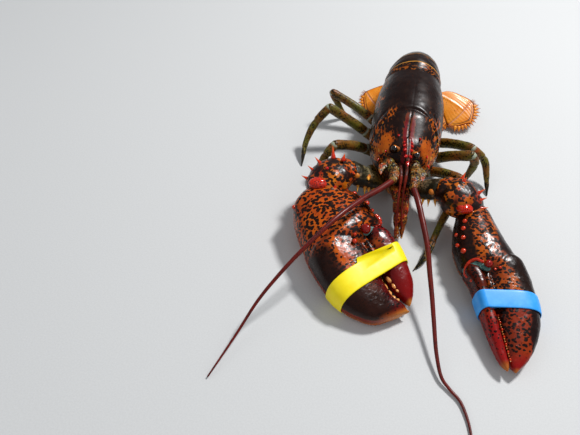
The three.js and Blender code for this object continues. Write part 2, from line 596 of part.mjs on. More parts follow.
const upperLeg = ({ upper, thick }, grow = 0) =>
  limb({
    points: upper, radii: [[0, thick * 1.1], [0.3, thick * 1.12], [0.75, thick], [1, thick * 0.86]], flat: 1.05,
    rows: 5, sides: 7, grow,
  });
const lowerLeg = ({ lower, thick }) =>
  limb({
    points: lower, radii: [[0, thick * 0.86], [0.25, thick * 0.84], [0.6, thick * 0.66], [0.9, thick * 0.32], [1, 0.5]],
    rows: 6, sides: 7, caps: [0.8, 0.6], up: SIDEWAYS,
  });

// Thorax underside: the sternum that carries the legs, flat where it lies on the floor
const sternumHalf = profile([[-44, 8], [-34, 12], [-15, 15.5], [10, 16], [30, 14], [48, 9]]);
const sternumLow = profile([[-44, 8], [-34, 3], [-22, -1.2], [26, -1.2], [36, 2.5], [48, 10]]);
function thorax(grow = 0) {
  const [from, to, top, rows] = [-45, 49, 24, 12];
  return loft(rows, 16, (row, angle) => {
    const share = 0.5 - 0.5 * Math.cos((Math.PI * row) / (rows + 1));
    const y = from + (to - from) * share;
    const isPole = row === 0 || row === rows + 1;
    const [a, b] = squircle(angle, 3);
    const scale = isPole ? 0 : 1;
    const brim = 11;
    const reach = (b > 0 ? top - brim : brim - sternumLow(y)) + grow;
    const push = row === 0 ? -grow : row === rows + 1 ? grow : 0;
    return new THREE.Vector3(midline(y) + a * (sternumHalf(y) + grow) * scale, y + push, brim + b * reach * scale);
  });
}

// Feelers
const PEDUNCLES = {
  right: { points: [[-11.5, -37, 38], [-10.5, -43, 39.5], [-6, -52, 40.5], [-7.5, -64.5, 42]], twist: -1 },
  left: { points: [[9, -38, 39], [9.2, -44, 40.5], [10.3, -56, 42], [8.7, -68.5, 42]], twist: 1 },
};
const FLAGELLA = {
  right: {
    base: [
      [-7.7, -65.4, 42.1], [-16.9, -78.2, 44], [-26.4, -91.5, 47], [-43.2, -116.8, 50], [-54.7, -134, 47],
      [-64.2, -147, 42],
    ],
    tip: [[-64.2, -147, 42], [-75.4, -161.8, 33], [-86.8, -178, 21], [-97, -200, 9], [-108.6, -229.5, 1.6]],
  },
  left: {
    base: [
      [8.8, -69.2, 41.9], [12.4, -79, 41], [17.5, -96.2, 37], [22.3, -112.7, 32], [26.6, -133.6, 24],
      [29.5, -148, 18.8],
    ],
    tip: [
      [29.5, -148, 18.8], [32, -162.6, 14], [36, -186.2, 7], [40.4, -200.2, 3.4], [45.5, -206, 2.2],
      [52.3, -212.8, 1.8], [57, -224, 1.5], [59.3, -236, 1.3], [61, -258, 1.1],
    ],
  },
};
const FEELER_RADII = { base: [2.3, 1.55], tip: [1.5, 0.6] }; // of each length's near and far end
const flagellum = (points, thick, rows, grow = 0) =>
  limb({ points, radii: [[0, thick[0]], [1, thick[1]]], rows, sides: 6, grow });

// Body
const SIDES = ["right", "left"];
const ORBIT_ROOM = 1.6; // between an eye and its socket
const eyeBalls = SIDES.map((side) => bead(EYE[side], EYE.radius + GAP, [1, 1, 1], 0, [12, 8]));
const orbits = SIDES.map((side) => bead(EYE[side], EYE.radius + ORBIT_ROOM, [1.1, 1.3, 1], 0, [10, 7]));
const faceAt = tailPoint(TAIL.start, 0, 0, TAIL.radius);
const tailFace = solidOf(
  new THREE.BoxGeometry(200, 100, 300).translate(0, 50, 0).rotateX(-radians(TAIL.start))
    .translate(0, faceAt.y, faceAt.z),
);

const ROSTRUM = {
  points: [[0.5, -27, 53], [1.4, -36, 50.8], [2.1, -44, 48.8], [2.3, -50.9, 47.2]],
  radii: [[0, 4.2], [0.35, 3.5], [0.7, 2.4], [1, 0.8]],
  teeth: [{ y: -33, half: 3.3 }, { y: -37.5, half: 2.9 }, { y: -43.5, half: 2.2 }],
};
const BROW_SPINES = [
  [[-7.2, -24, 53.6], [-7.6, -29.5, 56.8]], [[9.8, -24, 53.2], [10.2, -29.5, 56.4]],
  [[-14.6, -33, 44.6], [-15.6, -38.8, 46.6]], [[17, -32.5, 44], [18, -38, 46]],
];

/** Flattened beak between the eyes, grown by the given clearance. */
const rostrumBlade = (grow = 0) =>
  limb({ points: ROSTRUM.points, radii: ROSTRUM.radii, rows: 6, sides: 8, flat: 0.64, caps: [0.4, 1], grow });

function rostrum() {
  const middle = new THREE.CatmullRomCurve3(ROSTRUM.points.map(vec), false, "centripetal");
  const teeth = ROSTRUM.teeth.flatMap(({ y, half }) => {
    const at = middle.getPointAt(clamp01((y + 27) / -24));
    return [-1, 1].map((side) => {
      const root = [at.x + side * (half - 1.4), at.y + 1.6, at.z + 0.4];
      return spine(root, [at.x + side * (half + 1.1), at.y - 2.8, at.z + 2], 1.15);
    });
  });
  const brow = BROW_SPINES.map(([root, tip]) => spine(root, tip, 1.4));
  return union([rostrumBlade(), ...teeth, ...brow]);
}

const thoraxShape = thorax(GAP);
add("carapace", union([carapace(), rostrum()]), SHELL, [thoraxShape, tailFace, ...orbits]);
add("thorax_underside", thorax(), UNDERSIDE);
TAIL_STEPS.slice(1).forEach((to, i) => {
  add(`abdomen_${i + 1}`, abdomenRing(TAIL_STEPS[i], to, i > 0 && i < 5), RING);
});

// Tail fan
const endAt = tailPoint(TAIL.end, 0, 0, TAIL.radius - 9);
const lastRing = solidOf(
  new THREE.BoxGeometry(120, 60, 60).translate(0, 0, 30).rotateX(-radians(TAIL.end - 90))
    .translate(0, endAt.y, endAt.z - GAP / 2),
);
const rightBlades = { mirror: -1 };
add("telson", fanPlate({
  root: [FAN.x, -1], heading: 90, length: TELSON.length, outer: TELSON.outer, inner: (t) => -TELSON.outer(t),
  layer: -FAN.layer, thick: profile([[0, 3], [0.4, 2.4], [1, 1.6]]), rows: 9, sides: 12,
}), FAN_SHELL, [lastRing]);
for (const side of SIDES) {
  const isLeft = side === "left";
  const turn = isLeft ? {} : rightBlades;
  add(`${side}_uropod_inner`, fanPlate({
    root: [FAN.x + (isLeft ? 9 : -9), 1], heading: isLeft ? 64 : 112, ...INNER_BLADE, layer: 0,
    thick: PLATE_THICK, ...turn,
  }), FAN_SHELL, [lastRing]);
  const outerBlade = {
    root: [FAN.x + (isLeft ? 12.5 : -13.5), isLeft ? 5 : 3.5], heading: isLeft ? 33 : 134, ...SIDE_BLADE,
    layer: FAN.layer, thick: PLATE_THICK, ...turn,
  };
  add(`${side}_uropod_outer`, union([fanPlate(outerBlade), ...fringe(outerBlade, 8)]), FAN_SHELL, [lastRing]);
}

// Head
const carapaceShape = carapace(GAP);
for (const side of SIDES) {
  const sign = side === "left" ? 1 : -1;
  const eye = EYE[side];
  const grownEye = eyeBalls[side === "left" ? 1 : 0];
  add(`${side}_eye`, bead(eye, EYE.radius, [1, 1, 1], 0, [12, 8]), EYE_BLACK);
  const stalk = limb({
    points: [[sign * 4.6, -33.5, 48.4], [sign * 6.6, eye[1] + 1.2, 49.2], [eye[0], eye[1], eye[2]]],
    radii: [[0, 2.1], [0.6, 2.2], [1, 2]], rows: 3, sides: 8,
  });
  add(`${side}_eye_stalk`, stalk, PEDUNCLE, [carapaceShape, grownEye, rostrumBlade(GAP)]);
}

for (const side of SIDES) {
  const sign = side === "left" ? 1 : -1;
  const { points } = PEDUNCLES[side];
  const stem = {
    points, radii: [[0, 4.4], [0.25, 4.5], [0.6, 4.2], [0.85, 3.6], [1, 2.9]], rows: 9, sides: 10, flat: 0.95,
  };
  const [x, y, z] = points[1];
  const scale = limb({
    points: [[x + sign * 2, y - 1, z + 1], [x + sign * 6, y - 7, z + 1.5], [x + sign * 6.2, y - 15, z + 1.2]],
    radii: [[0, 2.6], [0.4, 3.2], [0.8, 1.6], [1, 0.5]], rows: 4, sides: 6, flat: 0.4,
  });
  add(`${side}_antenna_base`, union([limb(stem), scale]), PEDUNCLE, [carapaceShape, rostrumBlade(GAP)]);
  const { base, tip } = FLAGELLA[side];
  add(`${side}_antenna_1`, flagellum(base, FEELER_RADII.base, 11), FEELER, [limb({ ...stem, grow: GAP })]);
  add(`${side}_antenna_2`, flagellum(tip, FEELER_RADII.tip, 12), FEELER, [flagellum(base, FEELER_RADII.base, 11, GAP)]);
}

const ANTENNULES = {
  right: [[-2.2, -42, 40], [-1.9, -50, 42.6], [-1.2, -58, 42], [-0.4, -68, 32], [0.6, -77, 21.5], [2, -90, 9.5]],
  left: [[2.4, -42, 40], [2.7, -50, 42.6], [2.6, -58, 42], [2.9, -67, 31], [4.2, -75, 21.5], [6.2, -84, 12]],
};
const MAXILLIPEDS = {
  right: [[-4.2, -40, 14], [-2.8, -50, 19], [-0.8, -60, 22], [1.8, -74, 14], [3, -88, 4]],
  left: [[4.8, -40, 14], [5, -50, 19], [6, -61, 22], [7.2, -74, 14], [7.6, -87, 4.5]],
};
const maxilliped = (side, grow = 0) =>
  limb({
    points: MAXILLIPEDS[side], radii: [[0, 3.6], [0.3, 3.9], [0.55, 3.4], [0.85, 2.1], [1, 0.9]],
    rows: 10, sides: 8, flat: 1.1, grow,
  });
const armGrown = {
  right: armPiece(RIGHT_ARM.base, { sides: 12, grow: GAP }),
  left: armPiece(LEFT_ARM.base, { sides: 12, grow: GAP }),
};
for (const side of SIDES) {
  add(`${side}_antennule`, limb({
    points: ANTENNULES[side], radii: [[0, 1.9], [0.2, 1.7], [0.35, 1.25], [0.8, 0.7], [1, 0.35]], rows: 11, sides: 6,
  }), FEELER, [carapaceShape, rostrumBlade(GAP), ...SIDES.map((other) => limb({
    points: PEDUNCLES[other].points, radii: [[0, 4.7], [0.6, 4.5], [1, 3.2]], rows: 9, sides: 10, flat: 0.95,
  }))]);
  const beside = side === "left" ? [maxilliped("right", GAP)] : [];
  const behind = [carapaceShape, thoraxShape, armGrown.right, armGrown.left];
  add(`${side}_maxilliped`, maxilliped(side), PEDUNCLE, [...behind, ...beside]);
}

// Claws and arms
for (const side of SIDES) {
  const arm = side === "right" ? RIGHT_ARM : LEFT_ARM;
  const claw = side === "right" ? CRUSHER_CLAW : CUTTER_CLAW;
  const kind = side === "right" ? "crusher" : "cutter";
  const tone = side === "right" ? CRUSHER : CUTTER;
  const grown = (piece) => armPiece(piece, { grow: GAP });
  add(`${side}_arm_base`, armPiece(arm.base, { sides: 12 }), PEDUNCLE, [thoraxShape, carapaceShape]);
  const armSpines = (name, clear = 0) =>
    ARM_SPINES[name].map(([root, tip]) => spine(root, tip, SPINE_RADIUS + clear));
  const { centre, radius, stretch, turn } = CONDYLES[side];
  const condyle = bead(centre, radius, stretch, turn, [8, 5]);
  const carpus = union([armPiece(arm.carpus, { sides: 14, rows: 5 }), condyle, ...armSpines(`${side}_carpus`)]);
  add(`${side}_arm_merus`, union([armPiece(arm.merus, {}), ...armSpines(`${side}_merus`)]), LEG, [
    carapaceShape, grown(arm.base),
  ]);
  add(`${side}_arm_carpus`, carpus, ARM, [carapaceShape, grown(arm.merus)]);
  const { frame } = claw;
  const palm = clawLoft({ frame, ...claw.palm });
  const finger = clawLoft({ frame, ...claw.finger });
  const grownCondyle = bead(centre, radius + GAP, stretch, turn, [8, 5]);
  const carpusShape = union([
    armPiece(arm.carpus, { sides: 14, rows: 5, grow: GAP }), grownCondyle, ...armSpines(`${side}_carpus`, 2 * GAP),
  ]);
  const beads = clawBeads(frame, claw.palm, claw.palmBeads);
  const teeth = slotTeeth(frame, claw.finger, "inner", 1, claw.fingerTeeth);
  add(`${side}_${kind}_claw`, union([palm, finger, ...beads, ...teeth]), tone, [carpusShape]);
  const dactylTeeth = slotTeeth(frame, claw.dactyl, "outer", -1, claw.dactylTeeth);
  add(`${side}_${kind}_dactyl`, union([clawLoft({ frame, ...claw.dactyl }), ...dactylTeeth]), tone, [
    clawLoft({ frame, ...claw.palm, grow: GAP }), clawLoft({ frame, ...claw.finger, grow: GAP }),
    ...slotTeeth(frame, claw.finger, "inner", 1, claw.fingerTeeth, GAP),
  ]);
  add(`${side}_claw_band`, clawBand(claw), side === "right" ? YELLOW_RUBBER : BLUE_RUBBER, [
    clawLoft({ frame, ...claw.palm, grow: GAP }), clawLoft({ frame, ...claw.finger, grow: GAP }),
    clawLoft({ frame, ...claw.dactyl, grow: GAP }),
  ]);
}

for (const [name, leg] of Object.entries(LEGS)) {
  const beside = name.startsWith("left") ? armGrown.left : armGrown.right;
  add(`${name}_upper`, upperLeg(leg), LEG, [thoraxShape, carapaceShape, beside]);
  add(`${name}_lower`, lowerLeg(leg), LEG, [upperLeg(leg, GAP)]);
}

export default lobster;
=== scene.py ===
"""American lobster, life size, lying on its underside with its tail curled under and its claws banded shut.

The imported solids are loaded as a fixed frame. Each class below builds one sub-assembly as a finer surface in
the same place: sizes are in millimetres, +Z up, the head towards -Y and the animal's left towards +X, and
points turn into metres as they enter a mesh.
"""

from __future__ import annotations

import logging
import math
from dataclasses import dataclass, field
from enum import Enum
from typing import Callable, ClassVar, Sequence

import bpy
import numpy as np
from mathutils import Matrix

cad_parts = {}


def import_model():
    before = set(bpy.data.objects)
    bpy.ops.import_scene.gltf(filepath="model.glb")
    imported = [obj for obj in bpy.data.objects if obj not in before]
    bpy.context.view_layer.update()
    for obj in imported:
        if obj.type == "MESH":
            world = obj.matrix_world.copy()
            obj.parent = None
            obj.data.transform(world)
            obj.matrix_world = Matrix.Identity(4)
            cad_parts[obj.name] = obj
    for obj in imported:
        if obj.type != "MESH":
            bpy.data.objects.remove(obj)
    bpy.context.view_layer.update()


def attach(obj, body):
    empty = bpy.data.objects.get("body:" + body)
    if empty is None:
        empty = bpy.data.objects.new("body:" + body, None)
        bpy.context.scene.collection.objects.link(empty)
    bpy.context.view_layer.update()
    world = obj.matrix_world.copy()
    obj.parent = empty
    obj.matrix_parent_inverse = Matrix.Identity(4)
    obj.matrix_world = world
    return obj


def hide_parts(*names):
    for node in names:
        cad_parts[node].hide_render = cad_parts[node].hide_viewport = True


LOG = logging.getLogger("lobster")
MM = 0.001
UP = np.array([0.0, 0.0, 1.0])
SIDEWAYS = np.array([1.0, 0.0, 0.0])
SEED = 7
ALONG = "along"

Array = np.ndarray
Obj = bpy.types.Object
Node = bpy.types.Node
Socket = bpy.types.NodeSocket
Curve = Callable[[Array], Array]
Pairs = Sequence[tuple[float, float]]
Point = Sequence[float]


class Side(Enum):
    """One side of the animal; the value is the sign of its x."""

    RIGHT = -1
    LEFT = 1

    @property
    def label(self) -> str:
        """Prefix of that side's node names."""
        return self.name.lower()


# Curves and fields


def profile(pairs: Pairs) -> Curve:
    """Smooth curve through [place, value] pairs that never swings past them.

    Args:
        pairs: places in rising order, each with its value.

    Returns:
        A function from places to values.
    """
    x, y = (np.array(column, float) for column in zip(*pairs))
    step = np.diff(x)
    rise = np.diff(y) / step
    slope = np.empty_like(y)
    slope[0], slope[-1] = rise[0], rise[-1]
    for i in range(1, len(rise)):
        if rise[i - 1] * rise[i] <= 0:
            slope[i] = 0.0
            continue
        before, after = 2 * step[i] + step[i - 1], step[i] + 2 * step[i - 1]
        slope[i] = (before + after) / (before / rise[i - 1] + after / rise[i])

    def curve(place: Array) -> Array:
        """Value at each place."""
        i = np.clip(np.searchsorted(x, place) - 1, 0, len(step) - 1)
        t = np.clip((place - x[i]) / step[i], 0, 1)
        s = t * t * (3 - 2 * t)
        bend = t * (1 - t) * step[i]
        return y[i] * (1 - s) + y[i + 1] * s + bend * (slope[i] * (1 - t) - slope[i + 1] * t)

    return curve


def squircle(angle: Array, power: Array | float) -> tuple[Array, Array]:
    """Point of a rounded-square section: power 2 is an ellipse, more is squarer."""
    c, s = np.cos(angle), np.sin(angle)
    return np.sign(c) * np.abs(c) ** (2 / power), np.sign(s) * np.abs(s) ** (2 / power)


def rise_over(low: float, high: float, value: Array) -> Array:
    """Smooth step from 0 at low to 1 at high."""
    t = np.clip((value - low) / (high - low), 0, 1)
    return t * t * (3 - 2 * t)


def bell(value: Array, centre: float | Array, width: float) -> Array:
    """Bell curve of height 1 about a centre."""
    return np.exp(-(((value - centre) / width) ** 2))


def unit(vector: Array) -> Array:
    """A vector, or rows of vectors, at length 1."""
    return vector / np.linalg.norm(vector, axis=-1, keepdims=True)


def grain(points: Array, cell: float, seed: int) -> Array:
    """Smooth random field over space, from -1 to 1.

    Args:
        points: places in millimetres.
        cell: size of one bump.
        seed: number that picks the field.

    Returns:
        One value for each place.
    """
    at = points / cell + seed * 17.31
    base = np.floor(at).astype(np.int64)
    t = at - base
    t = t * t * (3 - 2 * t)
    total = np.zeros(len(points))
    for corner in range(8):
        shift = np.array([corner & 1, (corner >> 1) & 1, corner >> 2])
        key = (base + shift) @ np.array([73856093, 19349663, 83492791]) + seed * 2654435
        key = (key ^ (key >> 13)) * 1274126177
        value = ((key ^ (key >> 16)) & 0xFFFF) / 0x7FFF - 1.0
        total += value * np.prod(np.where(shift == 1, t, 1 - t), axis=1)
    return total


def drawn_out(points: Array, share: float) -> Array:
    """Points closer together along the body, so that a field over them is drawn out along it."""
    return points * np.array([1, share, 1])


class Path:
    """Smooth curve through points, walked by its length from 0 to 1."""

    SAMPLES = 600

    def __init__(self, points: Sequence[Point]) -> None:
        """Samples the curve and measures it."""
        p = np.array(points, float)
        p = np.vstack([2 * p[0] - p[1], p, 2 * p[-1] - p[-2]])
        knots = np.concatenate([[0], np.cumsum(np.sqrt(np.linalg.norm(np.diff(p, axis=0), axis=1)))])
        t = np.linspace(knots[1], knots[-2], self.SAMPLES)
        i = np.clip(np.searchsorted(knots, t) - 1, 1, len(p) - 3)

        def mix(a: Array, b: Array, j: Array, k: Array) -> Array:
            """Blend of two rows of points between two knots."""
            share = ((t - knots[j]) / (knots[k] - knots[j]))[:, None]
            return a * (1 - share) + b * share

        a1, a2, a3 = (mix(p[i + n], p[i + n + 1], i + n, i + n + 1) for n in (-1, 0, 1))
        b1, b2 = mix(a1, a2, i - 1, i + 1), mix(a2, a3, i, i + 2)
        self.points = mix(b1, b2, i, i + 1)
        runs = np.linalg.norm(np.diff(self.points, axis=0), axis=1)
        self.length = float(runs.sum())
        self.share = np.concatenate([[0], np.cumsum(runs)]) / self.length

    def at(self, t: Array | float) -> Array:
        """Points at shares of the length."""
        return np.stack([np.interp(t, self.share, self.points[:, k]) for k in range(3)], axis=-1)

    def along(self, t: Array | float) -> Array:
        """Unit directions at shares of the length."""
        reach = 0.006
        before, after = np.maximum(np.asarray(t) - reach, 0), np.minimum(np.asarray(t) + reach, 1)
        return unit(self.at(after) - self.at(before))


# Meshes


def pick(*objects: Obj) -> None:
    """Selects these objects and nothing else; the first becomes the active one."""
    bpy.ops.object.select_all(action="DESELECT")
    for item in objects:
        item.select_set(True)
    bpy.context.view_layer.objects.active = objects[0]


def join(first: Obj, *rest: Obj) -> Obj:
    """Makes one object of several, under the first one's name."""
    pick(first, *rest)
    if rest:
        bpy.ops.object.join()
    return first


def link_new(name: str, data: bpy.types.ID) -> Obj:
    """New object in the scene around its data."""
    obj = bpy.data.objects.new(name, data)
    bpy.context.scene.collection.objects.link(obj)
    return obj


def read_points(obj: Obj, measure: float = MM) -> Array:
    """Places of a mesh's points, in millimetres unless another measure is given in metres."""
    flat = np.empty(len(obj.data.vertices) * 3)
    obj.data.vertices.foreach_get("co", flat)
    return flat.reshape(-1, 3) / measure


def write_points(obj: Obj, points: Array) -> None:
    """Moves a mesh's points; none goes below the floor."""
    kept = points.copy()
    kept[:, 2] = np.maximum(kept[:, 2], 0.0)
    obj.data.vertices.foreach_set("co", (kept * MM).ravel())
    obj.data.update()


def read_normals(obj: Obj) -> Array:
    """Unit normals at a mesh's points."""
    flat = np.empty(len(obj.data.vertices) * 3, np.float32)
    obj.data.vertex_normals.foreach_get("vector", flat)
    return flat.reshape(-1, 3).astype(float)


def apply_modifier(obj: Obj, kind: str, **settings: object) -> None:
    """Adds one modifier with its settings and applies it."""
    pick(obj)
    modifier = obj.modifiers.new(kind.title(), kind)
    for key, value in settings.items():
        setattr(modifier, key, value)
    bpy.ops.object.modifier_apply(modifier=modifier.name)


def face_out(obj: Obj) -> None:
    """Turns a closed mesh's faces outward."""
    pick(obj)
    bpy.ops.object.mode_set(mode="EDIT")
    bpy.ops.mesh.select_all(action="SELECT")
    bpy.ops.mesh.normals_make_consistent(inside=False)
    bpy.ops.object.mode_set(mode="OBJECT")


def on_rings(row: Array, rows: int) -> Array:
    """1 on a sheet's rings and 0 at its two poles."""
    return np.where((row == 0) | (row == rows + 1), 0.0, 1.0)


def eased(row: Array, rows: int) -> Array:
    """Share of the way from a sheet's first pole to its last, with closer rings at both ends."""
    return 0.5 - 0.5 * np.cos(math.pi * row / (rows + 1))


def sheet(name: str, rows: int, sides: int, place: Callable[[Array, Array], Array]) -> Obj:
    """Closed surface whose rows run from one pole (row 0) to the other (row rows + 1).

    Args:
        name: the new object's name.
        rows: rings of points between the poles.
        sides: points round each ring.
        place: gives the places in millimetres for rows and angles.

    Returns:
        The new object, with the sphere's UV map: across and along.
    """
    bpy.ops.object.select_all(action="DESELECT")
    bpy.ops.mesh.primitive_uv_sphere_add(segments=sides, ring_count=rows + 1, radius=1.0)
    obj = bpy.context.object
    obj.name = obj.data.name = name
    x, y, z = read_points(obj, 1.0).T
    row = np.rint(np.arccos(np.clip(z, -1, 1)) / math.pi * (rows + 1))
    write_points(obj, place(row, np.arctan2(y, x)))
    face_out(obj)
    bpy.ops.object.shade_smooth()
    return obj


def ball(name: str, centre: Point, radii: Point, turn: float = 0.0, rows: int = 30, sides: int = 40) -> Obj:
    """Egg-shaped piece.

    Args:
        name: the new object's name.
        centre: its middle.
        radii: its three half widths.
        turn: its heading in radians.
        rows: rings between the poles.
        sides: points round each ring.

    Returns:
        The new object.
    """
    spin = np.array([[math.cos(turn), math.sin(turn), 0], [-math.sin(turn), math.cos(turn), 0], [0, 0, 1]])

    def place(row: Array, angle: Array) -> Array:
        """Point of the piece at a row and an angle."""
        tilt = math.pi * row / (rows + 1)
        sphere = np.stack([np.sin(tilt) * np.cos(angle), np.sin(tilt) * np.sin(angle), np.cos(tilt)], axis=1)
        return sphere * np.array(radii) @ spin + np.array(centre)

    return sheet(name, rows, sides, place)


def limb(
    name: str,
    points: Sequence[Point],
    radii: Pairs,
    rows: int = 40,
    sides: int = 24,
    flat: float = 1.0,
    caps: tuple[float, float] = (0.8, 0.8),
    power: float = 2.0,
    up: Array = UP,
) -> Obj:
    """Round-ended limb along a smooth curve.

    Args:
        name: the new object's name.
        points: places that the limb's middle passes.
        radii: half widths along the curve from 0 to 1.
        rows: rings between the ends.
        sides: points round the limb.
        flat: depth over width.
        caps: how far each end bulges, in half widths.
        power: squareness of the section.
        up: direction that the section's depth leans to.

    Returns:
        The new object.
    """
    path = Path(points)
    width = profile(radii)
    steps = 5
    bow = np.linspace(0, math.pi / 2, steps + 1)[:-1]
    t = np.concatenate([np.zeros(steps), np.linspace(0, 1, rows), np.ones(steps)])
    slide = np.concatenate([-np.cos(bow) * caps[0], np.zeros(rows), np.cos(bow[::-1]) * caps[1]])
    scale = np.concatenate([np.sin(bow), np.ones(rows), np.sin(bow[::-1])])
    middle, along, radius = path.at(t), path.along(t), width(t)
    side = unit(np.cross(along, up))
    lift = np.cross(side, along)

    def place(row: Array, angle: Array) -> Array:
        """Point of the limb at a row and an angle."""
        i = row.astype(int)
        a, b = squircle(angle, power)
        grow = (radius * scale)[i]
        return (
            middle[i]
            + along[i] * (slide * radius)[i][:, None]
            + side[i] * (a * grow)[:, None]
            + lift[i] * (b * grow * flat)[:, None]
        )

    return sheet(name, len(t) - 2, sides, place)


def fuse(name: str, parts: Sequence[Obj], voxel: float, rounds: int = 6) -> Obj:
    """Melts closed meshes that cross into one skin.

    Args:
        name: the skin's name.
        parts: the meshes, which are used up.
        voxel: size of the skin's faces in millimetres.
        rounds: rounds of smoothing.

    Returns:
        The skin.
    """
    skin = join(*parts)
    skin.name = skin.data.name = name
    apply_modifier(skin, "REMESH", mode="VOXEL", voxel_size=voxel * MM)
    apply_modifier(skin, "SMOOTH", factor=0.5, iterations=rounds)
    write_points(skin, read_points(skin))
    pick(skin)
    bpy.ops.object.shade_smooth()
    return skin


def push(obj: Obj, amount: Callable[[Array], Array]) -> None:
    """Raises a surface along its normals by amount(points), in millimetres."""
    points = read_points(obj)
    write_points(obj, points + read_normals(obj) * amount(points)[:, None])


def roughen(obj: Obj, *layers: tuple[float, int, float]) -> None:
    """Raises a surface by layers of grain, each with its cell in millimetres, its seed and its height."""
    push(obj, lambda points: sum(grain(points, cell, seed) * height for cell, seed, height in layers))


Mask = Array | float


class Zones:
    """Masks over a surface: how spotted, red, pale and deep its colour is, and how strong its grain is."""

    NAME = "zones"
    SHADE = "shade"

    @staticmethod
    def paint(
        obj: Obj, dark: Mask = 0.0, red: Mask = 0.0, pale: Mask = 0.0, rough: Mask = 1.0, shade: Mask = 0.0
    ) -> None:
        """Stores the masks, each a number or one number for each point.

        Args:
            obj: the piece.
            dark: share of dark spots, from none to all.
            red: share of the finish's red.
            pale: share of its pale colour, on some pieces painted light.
            rough: strength of its grain.
            shade: even share of its dark colour, on some pieces painted shade.
        """
        size = len(obj.data.vertices)
        masks = [np.clip(np.broadcast_to(mask, size), 0, 1) for mask in (dark, red, pale, rough, shade)]
        mesh = obj.data
        layer = mesh.attributes.get(Zones.NAME) or mesh.attributes.new(Zones.NAME, "FLOAT_COLOR", "POINT")
        layer.data.foreach_set("color", np.stack(masks[:4], axis=1).astype(np.float32).ravel())
        layer = mesh.attributes.get(Zones.SHADE) or mesh.attributes.new(Zones.SHADE, "FLOAT", "POINT")
        layer.data.foreach_set("value", masks[4].astype(np.float32))


class Growth(Enum):
    """Small forms that are modelled once and set on a surface many times."""

    THORN = "thorn"
    BEAD = "bead"
    HAIR = "hair"


@dataclass
class Sower:
    """Sets copies of a small form on a surface, as one mesh."""

    rows: int = 10
    sides: int = 12
    forms: dict[Growth, tuple[Array, list[list[int]]]] = field(default_factory=dict)

    def form(self, growth: Growth) -> tuple[Array, list[list[int]]]:
        """Points and faces of one form, a unit wide and a unit long, made on first use."""
        if growth in self.forms:
            return self.forms[growth]
        swell = {
            Growth.THORN: profile([(-0.3, 1.05), (0, 1), (0.25, 0.74), (0.6, 0.36), (0.9, 0.12), (1, 0.05)]),
            Growth.BEAD: profile([(-0.3, 0.95), (0, 1), (0.4, 0.92), (0.75, 0.62), (0.94, 0.3), (1, 0.1)]),
            Growth.HAIR: profile([(-0.3, 1), (0, 1), (0.7, 0.7), (1, 0.2)]),
        }[growth]
        rows, sides = (3, 4) if growth is Growth.HAIR else (self.rows, self.sides)

        def place(row: Array, angle: Array) -> Array:
            """Point of the form, standing on its root along +Z, lifted off the floor while it is made."""
            z = -0.3 + 1.3 * np.sin(row / (rows + 1) * math.pi / 2)
            radius = on_rings(row, rows) * swell(z)
            return np.stack([np.cos(angle) * radius, np.sin(angle) * radius, z + 1], axis=1)

        template = sheet(growth.value, rows, sides, place)
        points = read_points(template) - UP
        faces = [list(face.vertices) for face in template.data.polygons]
        bpy.data.objects.remove(template)
        self.forms[growth] = (points, faces)
        return self.forms[growth]

    def sow(
        self,
        name: str,
        growth: Growth,
        roots: Sequence[Point],
        tips: Sequence[Point],
        radii: Sequence[float],
        stretch: float = 1.0,
        lay: Array | None = None,
    ) -> Obj:
        """Sets one copy of a form from each root to its tip.

        Args:
            name: the new object's name.
            growth: the form.
            roots: places where the copies stand.
            tips: places that they reach.
            radii: half widths at the roots.
            stretch: width towards lay over width across it.
            lay: direction that the stretched width leans to.

        Returns:
            One object that holds all copies, each point with its place from root to tip as an attribute.
        """
        points, faces = self.form(growth)
        all_points, all_faces = [], []
        for root, tip, radius in zip(roots, tips, radii):
            start, run = np.array(root, float), np.array(tip, float) - np.array(root, float)
            along = unit(run)
            lean = lay if lay is not None else SIDEWAYS if abs(along[0]) < 0.9 else UP
            side = unit(np.cross(along, lean))
            other = np.cross(side, along)
            offset = len(all_points) * len(points)
            width = points[:, :1] * other * radius * stretch + points[:, 1:2] * side * radius
            all_points.append(start + width + points[:, 2:] * run)
            all_faces += [[corner + offset for corner in face] for face in faces]
        mesh = bpy.data.meshes.new(name)
        mesh.from_pydata((np.vstack(all_points) * MM).tolist(), [], all_faces)
        obj = link_new(name, mesh)
        write_points(obj, read_points(obj))
        face_out(obj)
        bpy.ops.object.shade_smooth()
        layer = mesh.attributes.new(ALONG, "FLOAT", "POINT")
        layer.data.foreach_set("value", np.tile(points[:, 2], len(roots)).astype(np.float32))
        return obj


SOWER = Sower()


def along_of(obj: Obj) -> Array:
    """Place from root to tip of each point of a sown mesh."""
    values = np.empty(len(obj.data.vertices), np.float32)
    obj.data.attributes[ALONG].data.foreach_get("value", values)
    return values.astype(float)


# Finishes


